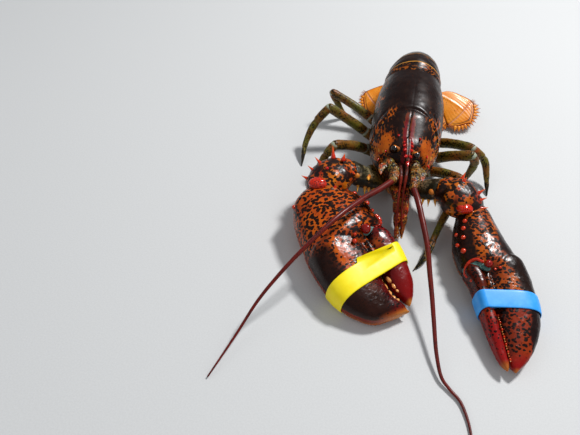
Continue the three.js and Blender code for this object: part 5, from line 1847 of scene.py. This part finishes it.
def cutter() -> CutterClaw:
    """The left claw."""
    frame = {"wrist": (56.8, -65.6), "ahead": (0.2316, -0.973), "outward": (0.973, 0.2316)}
    palm = ClawPiece(
        **frame, start=-6, end=64, rounding=(8, 18),
        outer=((-6, 6), (1, 11.2), (22, 17.4), (40, 23), (53, 27.6), (64, 29.9)),
        inner=((-6, -8), (4, -12.2), (22, -17.9), (33, -19.6), (52, -18.4), (64, -13.5)),
        top=((-6, 34), (8, 35), (25, 34.5), (45, 32.5), (64, 29)),
        bottom=((-6, 19), (4, 9), (13, -0.8), (42, -0.8), (52, 2.3), (64, 2.6)),
        edge=((-6, 27), (15, 19), (35, 15), (64, 13)), border=((-20, 53), (-16, 51), (-11, 50), (-4, 56)),
    )
    finger = ClawPiece(
        **frame, start=40, end=127, rounding=(10, 7),
        outer=((40, 22.5), (53, 27.6), (66, 29.6), (81, 29.6), (94, 27.4), (106, 22), (118, 13), (127, 3)),
        inner=((40, 0), (55, -3.6), (70, -2.9), (87, -2), (110, -1.8), (122, -1.4), (127, -0.5)),
        top=((40, 32), (50, 31.2), (64, 27.6), (84, 22.7), (104, 17.5), (120, 12.5), (127, 10)),
        bottom=((40, 6), (52, 2.6), (88, 2.4), (95, -0.6), (116, -0.6), (127, 5)),
        edge=((40, 15), (70, 12), (105, 9), (127, 7.5)), power=2.6,
    )
    dactyl = ClawPiece(
        **frame, start=46, end=126, rounding=(9, 6),
        outer=((46, -7), (56, -5), (72, -4), (88, -3), (110, -2.7), (120, -2.6), (126, -3.2)),
        inner=(
            (46, -15), (53, -18), (63, -14.6), (73, -13.4), (82, -12.7), (101, -11.2), (116, -9), (126, -5.2),
        ),
        top=((46, 26), (56, 26.5), (75, 23), (100, 17.5), (118, 12.5), (126, 10)),
        bottom=((46, 10), (60, 6.5), (90, 4), (118, 4.5), (126, 6)),
        edge=((46, 18), (60, 16), (90, 12), (126, 8)), power=2.6,
    )
    beads = (
        (16.2, -11, 1.6), (22, -13.1, 1.6), (29.5, -14.8, 1.6), (39.5, -16.3, 1.9), (23.2, -17.1, 1.4),
        (32.3, -18.3, 1.5), (58.2, 3.8, 1.0), (59.1, 0.2, 0.9), (61, -13.8, 1.6),
    )
    ridges = ((((52.6, -6.8), (49.4, -10.8), (50.2, -15.6), (54.6, -17.4), (57.6, -16.6)), 1.25, 0.0),)
    return CutterClaw(
        Side.LEFT, "cutter", palm, finger, dactyl, beads, hinge=(54.6, -3.2, 2.8), ridges=ridges,
        band_middle=79.5, band_slant=0.1, band_width=12.6, look=CUTTER_FINISH, rubber=BLUE_FINISH,
    )


# Arms and legs


@dataclass
class Arm:
    """Base, merus and carpus that carry one large claw."""

    BOSS_SHAPE: ClassVar[Point] = (1.5, 1.15, 0.85)

    side: Side
    base: Sequence[Point]
    base_radii: Pairs
    merus: Sequence[Point]
    merus_radii: Pairs
    carpus: Sequence[Point]
    carpus_radii: Pairs
    merus_thorns: Sequence[tuple[Point, Point]]
    carpus_thorns: Sequence[tuple[Point, Point]]
    knobs: Sequence[tuple[Point, float]]
    condyle: Point
    condyle_radius: float
    condyle_turn: float

    def spines(
        self, name: str, thorns: Sequence[tuple[Point, Point]], radius: float, longer: float = 0.0
    ) -> Obj:
        """Thorns of one length of the arm.

        Args:
            name: name of the piece after the side's.
            thorns: root and tip of each.
            radius: half width of each at its root.
            longer: share of its length that each tip goes beyond its place.

        Returns:
            The thorns as one piece.
        """
        roots, ends = (np.array(places, float) for places in zip(*thorns))
        tips = ends + (ends - roots) * longer
        return SOWER.sow(f"{self.side.label}_{name}", Growth.THORN, roots, tips, [radius] * len(roots))

    def pearls(self, name: str, knobs: Sequence[tuple[Point, float]]) -> Obj:
        """Round knobs, each as high as its radius."""
        roots = np.array([at for at, _ in knobs], float)
        radii = np.array([radius for _, radius in knobs])
        tips = roots + UP * radii[:, None]
        return SOWER.sow(f"{self.side.label}_{name}", Growth.BEAD, roots, tips, radii)

    def build_base(self, shop: Workshop) -> None:
        """The short length next to the body."""
        name = f"{self.side.label}_arm_base"
        base = limb(name, self.base, self.base_radii, rows=50, sides=48, flat=0.86)
        roughen(base, (3, 72, 0.25))
        Zones.paint(base, dark=0.45, red=0.2, pale=0.2)
        shop.finish(base, HEAD_FINISH, name)

    def build_merus(self, shop: Workshop) -> None:
        """The long olive length, with painted shade on its front, lower side and carpus end and painted light
        on its top, and its orange teeth.
        """
        name = f"{self.side.label}_arm_merus"
        tube = limb("merus", self.merus, self.merus_radii, rows=60, sides=64, flat=0.86, power=2.3)
        merus = fuse(name, [tube], 0.5, 3)
        roughen(merus, (4, 73, 0.3), (1.2, 74, 0.1))
        points = read_points(merus)
        # Painted shade: darker over the front and lower side and towards the carpus, broken into flecks by
        # grain.
        start, run = np.array(self.merus[0]), np.array(self.merus[-1]) - np.array(self.merus[0])
        t = (points - start) @ run / (run @ run)
        away = points - start - t[:, None] * run
        front = rise_over(0.5, -4.5, away[:, 1] * 0.7 + away[:, 2] * 0.5)
        shade = 0.95 * np.maximum(rise_over(0.5, 0.8, t), front)
        shade *= rise_over(-0.5, 0.1, grain(points, 2.4, 78) + 0.3)
        # Painted light: paler along the top.
        pale = 0.2 * rise_over(24, 32, points[:, 2])
        Zones.paint(merus, dark=0.5, red=0.25, pale=pale, rough=0.9, shade=shade)
        shop.finish(merus, LEG_FINISH, name)
        thorns = self.spines("merus_thorns", self.merus_thorns, 2.6, 0.7)
        Zones.paint(thorns, pale=rise_over(0.1, 0.7, along_of(thorns)), rough=0.3)
        shop.finish(thorns, ARM_FINISH)

    def build_carpus(self, shop: Workshop) -> None:
        """The thick mottled length before the claw, and its red thorns."""
        name = f"{self.side.label}_arm_carpus"
        tube = limb("carpus", self.carpus, self.carpus_radii, rows=80, sides=90, flat=0.86, power=2.2)
        carpus = fuse(name, [tube], 0.5, 3)
        push(carpus, lambda points: grain(points, 6, 75) * 0.5 + np.clip(grain(points, 1.2, 76), 0, 1) * 0.16)
        points = read_points(carpus)
        patches = grain(points, 8, 77)
        outer = rise_over(-2, 12, (points[:, 0] - Path(self.carpus).at(0.5)[0]) * self.side.value)
        under = rise_over(26, 18, points[:, 2])
        dark = (0.63 + 0.16 * patches + 0.08 * outer) * (1 - 0.6 * under)
        shade = np.clip(0.92 * rise_over(0.2, 0.5, patches) + 0.3 * outer, 0, 0.94) * (1 - under)
        Zones.paint(carpus, dark=dark, red=0.45 * outer, rough=0.9, shade=shade)
        shop.finish(carpus, ARM_FINISH, name)
        thorns = self.spines("carpus_thorns", self.carpus_thorns, 2.0)
        along = along_of(thorns)
        red, pale = 0.2 + 0.7 * rise_over(0.2, 0.8, along), 0.3 * rise_over(0.6, 1, along)
        Zones.paint(thorns, red=red, pale=pale, rough=0.2)
        shop.finish(thorns, THORN_FINISH)

    def build_knobs(self, shop: Workshop) -> None:
        """The orange elbow knob, the small red ones and the large red boss that the claw turns on."""
        elbow = self.pearls("arm_elbow_knob", self.knobs[:1])
        Zones.paint(elbow, dark=0.15, red=0.3, pale=0.35, rough=0.3)
        shop.finish(elbow, ARM_FINISH)
        pearls = self.pearls("arm_knobs", self.knobs[1:])
        Zones.paint(pearls, rough=0.2)
        shop.finish(pearls, THORN_FINISH)
        radii = np.array(self.BOSS_SHAPE) * self.condyle_radius
        boss = ball(f"{self.side.label}_arm_boss", self.condyle, radii, self.condyle_turn, sides=44)
        roughen(boss, (2.6, 71, 0.3))
        Zones.paint(boss, dark=0.36, red=0.15, rough=0.15)
        shop.finish(boss, THORN_FINISH)

    def build(self, shop: Workshop) -> None:
        """Makes and dresses the arm."""
        self.build_base(shop)
        self.build_merus(shop)
        self.build_carpus(shop)
        self.build_knobs(shop)


def arms() -> list[Arm]:
    """Both arms."""
    return [
        Arm(
            Side.RIGHT,
            base=((-9, -31, 13), (-12.5, -36, 14), (-16.5, -42, 17)),
            base_radii=((0, 6), (0.6, 6.8), (1, 7.2)),
            merus=((-16, -42.5, 17.5), (-27, -46, 23), (-38, -49, 29.5)),
            merus_radii=((0, 7), (0.4, 8.6), (1, 9.6)),
            carpus=((-43, -50.5, 31), (-52, -58, 30.5), (-60, -71, 29.5)),
            carpus_radii=((0, 11), (0.3, 15), (0.7, 16), (1, 13.5)),
            merus_thorns=(
                ((-32.6, -52, 25), (-32.2, -57.4, 22.4)), ((-26.8, -51, 22.4), (-26.2, -56.4, 19.6)),
                ((-23.6, -50, 21), (-23, -55, 18.4)), ((-19.8, -48.4, 19), (-19, -53.4, 16.4)),
                ((-25.6, -50.6, 28.6), (-25, -54, 30)),
            ),
            carpus_thorns=(
                ((-55, -48, 41), (-57, -41, 47.4)), ((-63, -56, 39), (-69.4, -52, 42.4)),
                ((-67, -62, 36), (-73.6, -59, 38.6)), ((-70.5, -68.4, 33), (-77, -67, 34.6)),
                ((-47, -52, 44), (-46.6, -49, 48.2)), ((-38.6, -56.4, 36), (-35.4, -59.6, 38)),
            ),
            knobs=(
                ((-34.6, -55.6, 33), 2.6), ((-50.3, -74.6, 35.4), 2.4), ((-43, -69.6, 31.6), 2.0),
                ((-58, -64, 43.6), 1.4),
            ),
            condyle=(-62.6, -75.6, 37.4), condyle_radius=5.0, condyle_turn=0.12,
        ),
        Arm(
            Side.LEFT,
            base=((9, -31, 13), (12, -36, 14), (15, -42, 17)),
            base_radii=((0, 6), (0.6, 6.8), (1, 7)),
            merus=((15, -43.5, 17.5), (23, -48.5, 23.5), (31, -52.5, 30)),
            merus_radii=((0, 6.8), (0.4, 8.4), (1, 9.2)),
            carpus=((36, -55, 32), (45, -60, 31.5), (54, -65.5, 29)),
            carpus_radii=((0, 11.5), (0.35, 16), (0.75, 15.5), (1, 12.5)),
            merus_thorns=(
                ((17.5, -49, 19), (16.8, -54.2, 16.2)), ((21, -51.4, 21), (20.6, -56.8, 18.2)),
                ((24.6, -53.6, 23.6), (24.6, -59.2, 21)), ((28.6, -56, 26.4), (29.2, -61.4, 24)),
            ),
            carpus_thorns=(
                ((45, -51.4, 42), (46.8, -47.4, 47.4)), ((46, -55, 44), (47.4, -54, 48)),
                ((58, -59.4, 38), (63, -57, 42)), ((59, -65, 36), (64.8, -63.4, 39.6)),
                ((60.6, -70, 33), (66.8, -69.4, 35.2)), ((31, -58, 33), (27.6, -61.4, 34.6)),
            ),
            knobs=(((25, -58.2, 31), 2.8), ((42.2, -63.7, 44), 1.3), ((33, -68, 33), 1.4)),
            condyle=(48.6, -74.2, 35.4), condyle_radius=4.3, condyle_turn=-0.1,
        ),
    ]


@dataclass
class Leg:
    """Walking leg: raised upper length and lower length that meets the floor."""

    UPPER: ClassVar[Pairs] = (
        (0, 1.15), (0.1, 1.2), (0.15, 1.0), (0.2, 1.12), (0.3, 1.1), (0.34, 0.96), (0.4, 1.02), (0.8, 0.98),
        (0.93, 1.0), (1, 0.86),
    )
    LOWER: ClassVar[Pairs] = (
        (0, 0.84), (0.08, 0.94), (0.24, 0.92), (0.28, 0.74), (0.33, 0.84), (0.6, 0.66), (0.69, 0.6),
        (0.72, 0.5), (0.76, 0.52), (0.92, 0.27),
    )
    THUMB: ClassVar[Pairs] = ((0, 0.4), (0.4, 0.34))
    STRIDE: ClassVar[int] = 6

    name: str
    upper: Sequence[Point]
    lower: Sequence[Point]
    thick: float
    pincer: bool = False

    def paint(self, obj: Obj, points: Sequence[Point], joints: Sequence[float], tip_dark: float) -> None:
        """Olive shell with pale joint rings, orange just past the joints and in patches, and a dark end."""
        path = Path(points)
        places = read_points(obj)
        away = np.linalg.norm(places[:, None] - path.points[None, :: self.STRIDE], axis=2)
        t = path.share[np.argmin(away, axis=1) * self.STRIDE]
        ring = sum(bell(t, joint, 0.9 / path.length) for joint in joints)
        near = sum(bell(t, joint + 2.6 / path.length, 1.6 / path.length) for joint in joints)
        dark = 0.4 + 0.25 * grain(places, 4, 81) + tip_dark * rise_over(0.55, 0.95, t)
        red = 0.5 * near + 0.45 * rise_over(0.1, 0.6, grain(places, 9, 84))
        shade = 0.5 * tip_dark * rise_over(0.7, 1, t)
        Zones.paint(obj, dark=dark - 0.3 * ring, red=red, pale=0.7 * ring, rough=0.8, shade=shade)

    def thumb(self, lower: Sequence[Point]) -> Obj:
        """Small movable finger beside the end of the lower length."""
        path = Path(lower)
        places = path.at(np.array([0.62, 0.74, 0.86, 0.97]))
        across = unit(np.cross(path.along(0.8), UP)) * (-1 if self.name.startswith("left") else 1)
        spread = np.array([0.3, 1.9, 1.9, 0.9])[:, None] * across
        return limb("thumb", places + spread, [*self.radii(self.THUMB), (1, 0.35)], sides=20, up=SIDEWAYS)

    def radii(self, swell: Pairs) -> Pairs:
        """Half widths along a length, from their shares of the leg's own."""
        return [(t, share * self.thick) for t, share in swell]

    def build(self, shop: Workshop) -> None:
        """Makes and dresses both lengths; the lower one starts at the end of the upper one."""
        name = f"{self.name}_upper"
        upper = limb(name, self.upper, self.radii(self.UPPER), rows=110, sides=28, flat=1.1)
        roughen(upper, (2.5, 82, 0.14))
        self.paint(upper, self.upper, (0.34,), 0.1)
        shop.finish(upper, LEG_FINISH, name)

        name = f"{self.name}_lower"
        points = (self.upper[-1], *self.lower)
        radii = [*self.radii(self.LOWER), (1, 0.4)]
        lower = limb(name, points, radii, rows=120, sides=28, caps=(0.8, 0.6), up=SIDEWAYS)
        if self.pincer:
            join(lower, self.thumb(points))
        roughen(lower, (2.2, 83, 0.12))
        self.paint(lower, points, (0.0,), 0.45)
        shop.finish(lower, LEG_FINISH, name)


LEGS = (
    Leg(
        "right_leg_2", ((-13.5, -15, 9), (-24, -22, 10.5), (-36, -35, 13.5), (-45, -43, 16)),
        ((-45.5, -50, 11), (-41.5, -58, 5.5), (-36, -65.5, 0.5)), thick=3.4, pincer=True,
    ),
    Leg(
        "right_leg_3", ((-14, 1, 9), (-27, 0.5, 13), (-41, -10, 24), (-56.4, -23, 33)),
        ((-61.8, -27.7, 25), (-68, -34, 10), (-72, -39.5, 0.5)), thick=4, pincer=True,
    ),
    Leg(
        "right_leg_4", ((-14, 17, 9), (-27, 21, 12.5), (-45, 19.5, 25), (-66.9, 17.6, 39)),
        ((-76.9, 11, 25), (-82.5, 0.6, 12), (-82.6, -20, 0.5)), thick=4,
    ),
    Leg(
        "right_leg_5", ((-13, 33, 9), (-26, 42, 12.5), (-45, 47, 22), (-67.5, 49.4, 32)),
        ((-63.5, 51, 23), (-57, 54, 10), (-50, 57, 0.5)), thick=3.6,
    ),
    Leg(
        "left_leg_2", ((13.5, -15, 9), (26, -14, 12), (38, -20, 18), (50, -28, 22)),
        ((48, -41, 16), (38, -68, 12.5), (26, -102, 5), (19, -114, 0.5)), thick=4, pincer=True,
    ),
    Leg(
        "left_leg_3", ((14, 1, 9), (28, 2, 13), (41, -4, 24), (56.4, -11.1, 34)),
        ((60.3, -10.9, 27), (59, -10.4, 12), (57.6, -7.9, 0.5)), thick=4.2, pincer=True,
    ),
    Leg(
        "left_leg_4", ((14, 17, 9), (30, 23, 13), (45, 14, 23), (58.2, 3.3, 30)),
        ((71, 1.5, 20), (76, -7.7, 8), (77.9, -20, 0.5)), thick=4,
    ),
    Leg(
        "left_leg_5", ((13, 33, 9), (20, 38, 12.5), (26, 45, 16), (30, 52, 18)),
        ((33, 50, 12), (34, 45, 5), (32, 39, 0.5)), thick=3.2,
    ),
)


# Head


@dataclass
class HeadSide:
    """Eye, feelers and mouth limb of one side of the head."""

    STEM: ClassVar[Pairs] = (
        (0, 4.4), (0.2, 4.6), (0.26, 3.8), (0.34, 4.4), (0.52, 4.4), (0.57, 3.5), (0.64, 3.9), (0.84, 3.7),
        (0.9, 2.9), (1, 3.0),
    )
    TAPER: ClassVar[Pairs] = ((0, 2.3), (0.25, 1.9), (0.45, 1.55), (0.8, 0.95), (1, 0.5))
    ANTENNULE: ClassVar[Pairs] = (
        (0, 1.7), (0.3, 1.6), (0.34, 1.3), (0.4, 1.5), (0.65, 1.4), (0.69, 1.15), (0.75, 1.35), (1, 1.1),
    )
    MAXILLIPED: ClassVar[Pairs] = (
        (0, 3.6), (0.2, 3.9), (0.42, 3.7), (0.46, 3.0), (0.52, 3.5), (0.62, 3.3), (0.65, 2.6), (0.7, 2.9),
        (0.82, 2.2), (0.85, 1.7), (0.9, 1.6), (1, 0.8),
    )
    RING_MM: ClassVar[float] = 0.62

    side: Side
    peduncle: Sequence[Point]
    feeler: Sequence[Point]
    antennule: Sequence[Point]
    maxilliped: Sequence[Point]
    eye_radius: float = 2.7
    bristles: int = 170

    def eye_ball(self, shop: Workshop) -> None:
        """Black eye with an orange crescent on top, on its stalk."""
        sign, eye = self.side.value, np.array(EYES[self.side])
        name = f"{self.side.label}_eye"
        globe = ball(name, eye, self.eye_radius * np.array([1, 1.04, 0.96]))
        away = (read_points(globe) - eye) / self.eye_radius
        back = away @ np.array([sign * -0.42, 0.72, 0.55])
        Zones.paint(globe, red=rise_over(0.5, 0.6, back) * rise_over(0.985, 0.93, back))
        shop.finish(globe, EYE_FINISH, name)

        name = f"{self.side.label}_eye_stalk"
        top = eye - np.array([sign * 0.4, -0.4, 0.5])
        places = [(sign * 4.6, -33.5, 48.4), (sign * 6.6, eye[1] + 1.2, 49.2), top]
        stalk = limb(name, places, [(0, 2.1), (0.6, 2.2), (1, 2.3)], rows=30, sides=28)
        Zones.paint(stalk, dark=0.45, red=0.3, rough=0.8)
        shop.finish(stalk, HEAD_FINISH, name)

    def antenna_base(self, shop: Workshop) -> None:
        """Jointed base of the antenna with its scale."""
        sign = self.side.value
        stem = limb("stem", self.peduncle, self.STEM, rows=70, sides=40, flat=0.95)
        x, y, z = self.peduncle[1]
        places = [
            (x + sign * 2, y - 1, z + 1), (x + sign * 6, y - 7, z + 1.5), (x + sign * 6.2, y - 15, z + 1.2),
        ]
        scale = limb("scale", places, [(0, 2.6), (0.4, 3.2), (0.8, 1.6), (1, 0.5)], flat=0.34)
        name = f"{self.side.label}_antenna_base"
        base = fuse(name, [stem, scale], 0.35, 3)
        roughen(base, (2.2, 91, 0.35), (0.9, 92, 0.1))
        points = read_points(base)
        tip = 0.7 * rise_over(y - 10, y - 15, points[:, 1]) * rise_over(4.0, 5.0, sign * (points[:, 0] - x))
        flecks = 0.7 * rise_over(0.35, 0.6, grain(points, 1.3, 93))
        dark = (0.55 + 0.25 * grain(points, 4, 97)) * (1 - tip)
        red = tip + 0.5 * rise_over(0.3, 0.6, grain(points, 5, 98))
        Zones.paint(base, dark=dark, red=red, pale=flecks * (1 - tip))
        shop.finish(base, HEAD_FINISH, name)

    def antenna(self, shop: Workshop) -> None:
        """The long ringed feeler."""
        path = Path(self.feeler)
        rows = int(path.length / self.RING_MM)
        taper = profile(self.TAPER)
        t = np.linspace(0, 1, rows + 2)
        middle, along = path.at(t), path.along(t)
        across = unit(np.cross(along, UP))
        lift = np.cross(across, along)

        def place(row: Array, angle: Array) -> Array:
            """Point of the feeler, each second row raised as a ring."""
            i = row.astype(int)
            radius = taper(t[i]) * (1 + 0.07 * (i % 2)) * on_rings(row, rows)
            a, b = (np.cos(angle) * radius)[:, None], (np.sin(angle) * radius)[:, None]
            return middle[i] + across[i] * a + lift[i] * b

        name = f"{self.side.label}_antenna"
        feeler = sheet(name, rows, 14, place)
        Zones.paint(feeler, dark=0.3 + 0.2 * grain(read_points(feeler), 6, 94), red=0.2, rough=0.4)
        shop.finish(feeler, FEELER_FINISH, f"{name}_1", f"{name}_2")

    def small_feelers(self, shop: Workshop) -> None:
        """Antennule: a jointed stem and two thin whips side by side."""
        sign, path = self.side.value, Path(self.antennule)
        name = f"{self.side.label}_antennule"
        stem = limb(name, path.at(np.linspace(0, 0.36, 5)), self.ANTENNULE, rows=60, sides=20)
        places = path.at(np.linspace(0.34, 1, 9))
        fork = np.linspace(0, 1, 9)[:, None]
        whips = [
            limb("whip", places + fork * np.array(spread), radii, rows=90, sides=12)
            for spread, radii in (
                ((sign * 0.5, 0, 0.2), [(0, 0.95), (0.5, 0.62), (1, 0.3)]),
                ((-sign * 0.7, 1.5, 1.6), [(0, 0.7), (0.5, 0.42), (1, 0.25)]),
            )
        ]
        join(stem, *whips)
        whip = rise_over(path.points[0, 1] - 13, path.points[0, 1] - 19, read_points(stem)[:, 1])
        Zones.paint(stem, dark=0.3, red=0.8 * whip, pale=0.3 * (1 - whip), rough=0.6, shade=0.45 * (1 - whip))
        shop.finish(stem, FEELER_FINISH, name)

    def mouth_limb(self, shop: Workshop) -> None:
        """Outer maxilliped and its tuft of bristles."""
        name = f"{self.side.label}_maxilliped"
        body = limb(name, self.maxilliped, self.MAXILLIPED, rows=120, sides=32, flat=1.1)
        roughen(body, (2, 95, 0.25))
        points = read_points(body)
        glow = rise_over(-0.1, 0.5, grain(points, 4, 99))
        flecks = 0.8 * rise_over(0.3, 0.55, grain(points, 1.3, 100))
        Zones.paint(body, dark=0.5 + 0.2 * grain(points, 3, 96), red=0.7 * glow, pale=flecks)
        shop.finish(body, MOUTH_FINISH, name)
        rng = np.random.default_rng(SEED + self.side.value)
        count = self.bristles
        t = np.sort(rng.uniform(0.42, 0.97, count))
        width = profile(self.MAXILLIPED)(t)
        lean = rng.uniform(-0.5, 0.5, count)
        inward = np.stack([-self.side.value * np.cos(lean), -0.3 + 0.2 * lean, -0.5 + lean * 0.6], axis=1)
        roots = Path(self.maxilliped).at(t) + inward * (width * 0.8)[:, None]
        tips = roots + inward * rng.uniform(1.2, 2.6, count)[:, None] + np.array([0, -0.8, -0.5])
        hairs = SOWER.sow(f"{name}_bristles", Growth.HAIR, roots, tips, [0.12] * count)
        Zones.paint(hairs, dark=0.1, red=0.2, pale=0.3, rough=0.2)
        shop.finish(hairs, MOUTH_FINISH)

    def build(self, shop: Workshop) -> None:
        """Makes and dresses that side of the head."""
        self.eye_ball(shop)
        self.antenna_base(shop)
        self.antenna(shop)
        self.small_feelers(shop)
        self.mouth_limb(shop)


HEAD = (
    HeadSide(
        Side.RIGHT,
        ((-11.5, -37, 38), (-10.5, -43, 39.5), (-6, -52, 40.5), (-7.5, -64.5, 42)),
        (
            (-7.6, -64.6, 42), (-16.9, -78.2, 44), (-26.4, -91.5, 47), (-43.2, -116.8, 50), (-54.7, -134, 47),
            (-64.2, -147, 42), (-75.4, -161.8, 33), (-86.8, -178, 21), (-97, -200, 9), (-108.6, -229.5, 1.6),
        ),
        (
            (-2.2, -42, 40), (-1.9, -50, 42.6), (-1.2, -58, 42), (-0.4, -68, 32), (0.6, -77, 21.5),
            (2, -90, 9.5),
        ),
        ((-4.2, -40, 14), (-2.8, -50, 19), (-0.8, -60, 22), (1.8, -74, 14), (3, -88, 4)),
    ),
    HeadSide(
        Side.LEFT,
        ((9, -38, 39), (9.2, -44, 40.5), (10.3, -56, 42), (8.7, -68.5, 42)),
        (
            (8.75, -68.6, 42), (12.4, -79, 41), (17.5, -96.2, 37), (22.3, -112.7, 32), (26.6, -133.6, 24),
            (29.5, -148, 18.8), (32, -162.6, 14), (36, -186.2, 7), (40.4, -200.2, 3.4), (45.5, -206, 2.2),
            (52.3, -212.8, 1.8), (57, -224, 1.5), (59.3, -236, 1.3), (61, -258, 1.1),
        ),
        ((2.4, -42, 40), (2.7, -50, 42.6), (2.6, -58, 42), (2.9, -67, 31), (4.2, -75, 21.5), (6.2, -84, 12)),
        ((4.8, -40, 14), (5, -50, 19), (6, -61, 22), (7.2, -74, 14), (7.6, -87, 4.5)),
    ),
)


# Studio


@dataclass
class Studio:
    """Pale floor, soft lights and the camera."""

    eye: Point = (-0.04238, -0.39188, 0.350)
    forward: Point = (-0.08354, 0.66128, -0.74548)
    right: Point = (0.98251, 0.17957, 0.04919)
    focal_px: float = 582.0
    frame_px: float = 580.0
    sensor_mm: float = 36.0
    aim: Point = (0.0, -0.05, 0.03)
    floor_m: float = 20.0

    @staticmethod
    def stand(obj: Obj, right: Array, up: Array, back: Array, at: Point) -> None:
        """Turns an object to three axes and moves it to its place."""
        matrix = np.eye(4)
        for column, axis in enumerate((right, up, back, at)):
            matrix[:3, column] = axis
        obj.matrix_world = Matrix(matrix.tolist())

    def camera(self) -> None:
        """Camera at the photograph's viewing angle."""
        ahead = unit(np.array(self.forward))
        right = unit(np.array(self.right) - ahead * float(np.dot(self.right, ahead)))
        data = bpy.data.cameras.new("camera")
        data.sensor_fit = "HORIZONTAL"
        data.sensor_width = self.sensor_mm
        data.lens = self.focal_px / self.frame_px * self.sensor_mm
        data.clip_start = 0.01
        obj = link_new("camera", data)
        self.stand(obj, right, np.cross(right, ahead), -ahead, self.eye)
        bpy.context.scene.camera = obj

    def light(self, name: str, at: Point, size: float, power: float, mirrored: bool = True) -> None:
        """Square area light that faces the animal and is mirrored in its shell or not."""
        data = bpy.data.lights.new(name, "AREA")
        data.shape = "SQUARE"
        data.size = size
        data.energy = power
        obj = link_new(name, data)
        obj.visible_glossy = mirrored
        away = unit(np.array(at) - np.array(self.aim))
        side = unit(np.cross(UP, away))
        self.stand(obj, side, np.cross(away, side), away, at)

    def build(self) -> None:
        """Adds floor, lights, world and camera."""
        bpy.ops.object.select_all(action="DESELECT")
        bpy.ops.mesh.primitive_plane_add(size=self.floor_m, location=(0, 0, 0))
        floor = bpy.context.object
        floor.name = "floor"
        floor.data.materials.append(PlainFinish("pale floor", base=0xBFC0C0, worn=0xC6C7C7).material())
        self.light("key", (0.5, 0.5, 1.2), 0.2, 22)
        self.light("fill", (-0.9, -0.5, 0.9), 1.0, 3, mirrored=False)
        self.light("front", (0.6, -1.0, 0.8), 0.9, 2.5, mirrored=False)
        world = bpy.data.worlds.new("studio")
        bpy.context.scene.world = world
        world.use_nodes = True
        sky = world.node_tree.nodes["Background"]
        sky.inputs["Color"].default_value = (0.9, 0.94, 1.0, 1.0)
        sky.inputs["Strength"].default_value = 0.3
        bpy.context.scene.view_settings.view_transform = "Standard"
        self.camera()


def main() -> None:
    """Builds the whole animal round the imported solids."""
    logging.basicConfig(level=logging.INFO, format="%(name)s %(message)s")
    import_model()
    Studio().build()
    shop = Workshop()
    Carapace().build(shop)
    Tail().build(shop)
    TailFan().build(shop)
    Thorax().build(shop)
    for arm in arms():
        arm.build(shop)
    crusher().build(shop)
    cutter().build(shop)
    for leg in LEGS:
        leg.build(shop)
    for head_side in HEAD:
        head_side.build(shop)


if __name__ == "__main__":
    main()
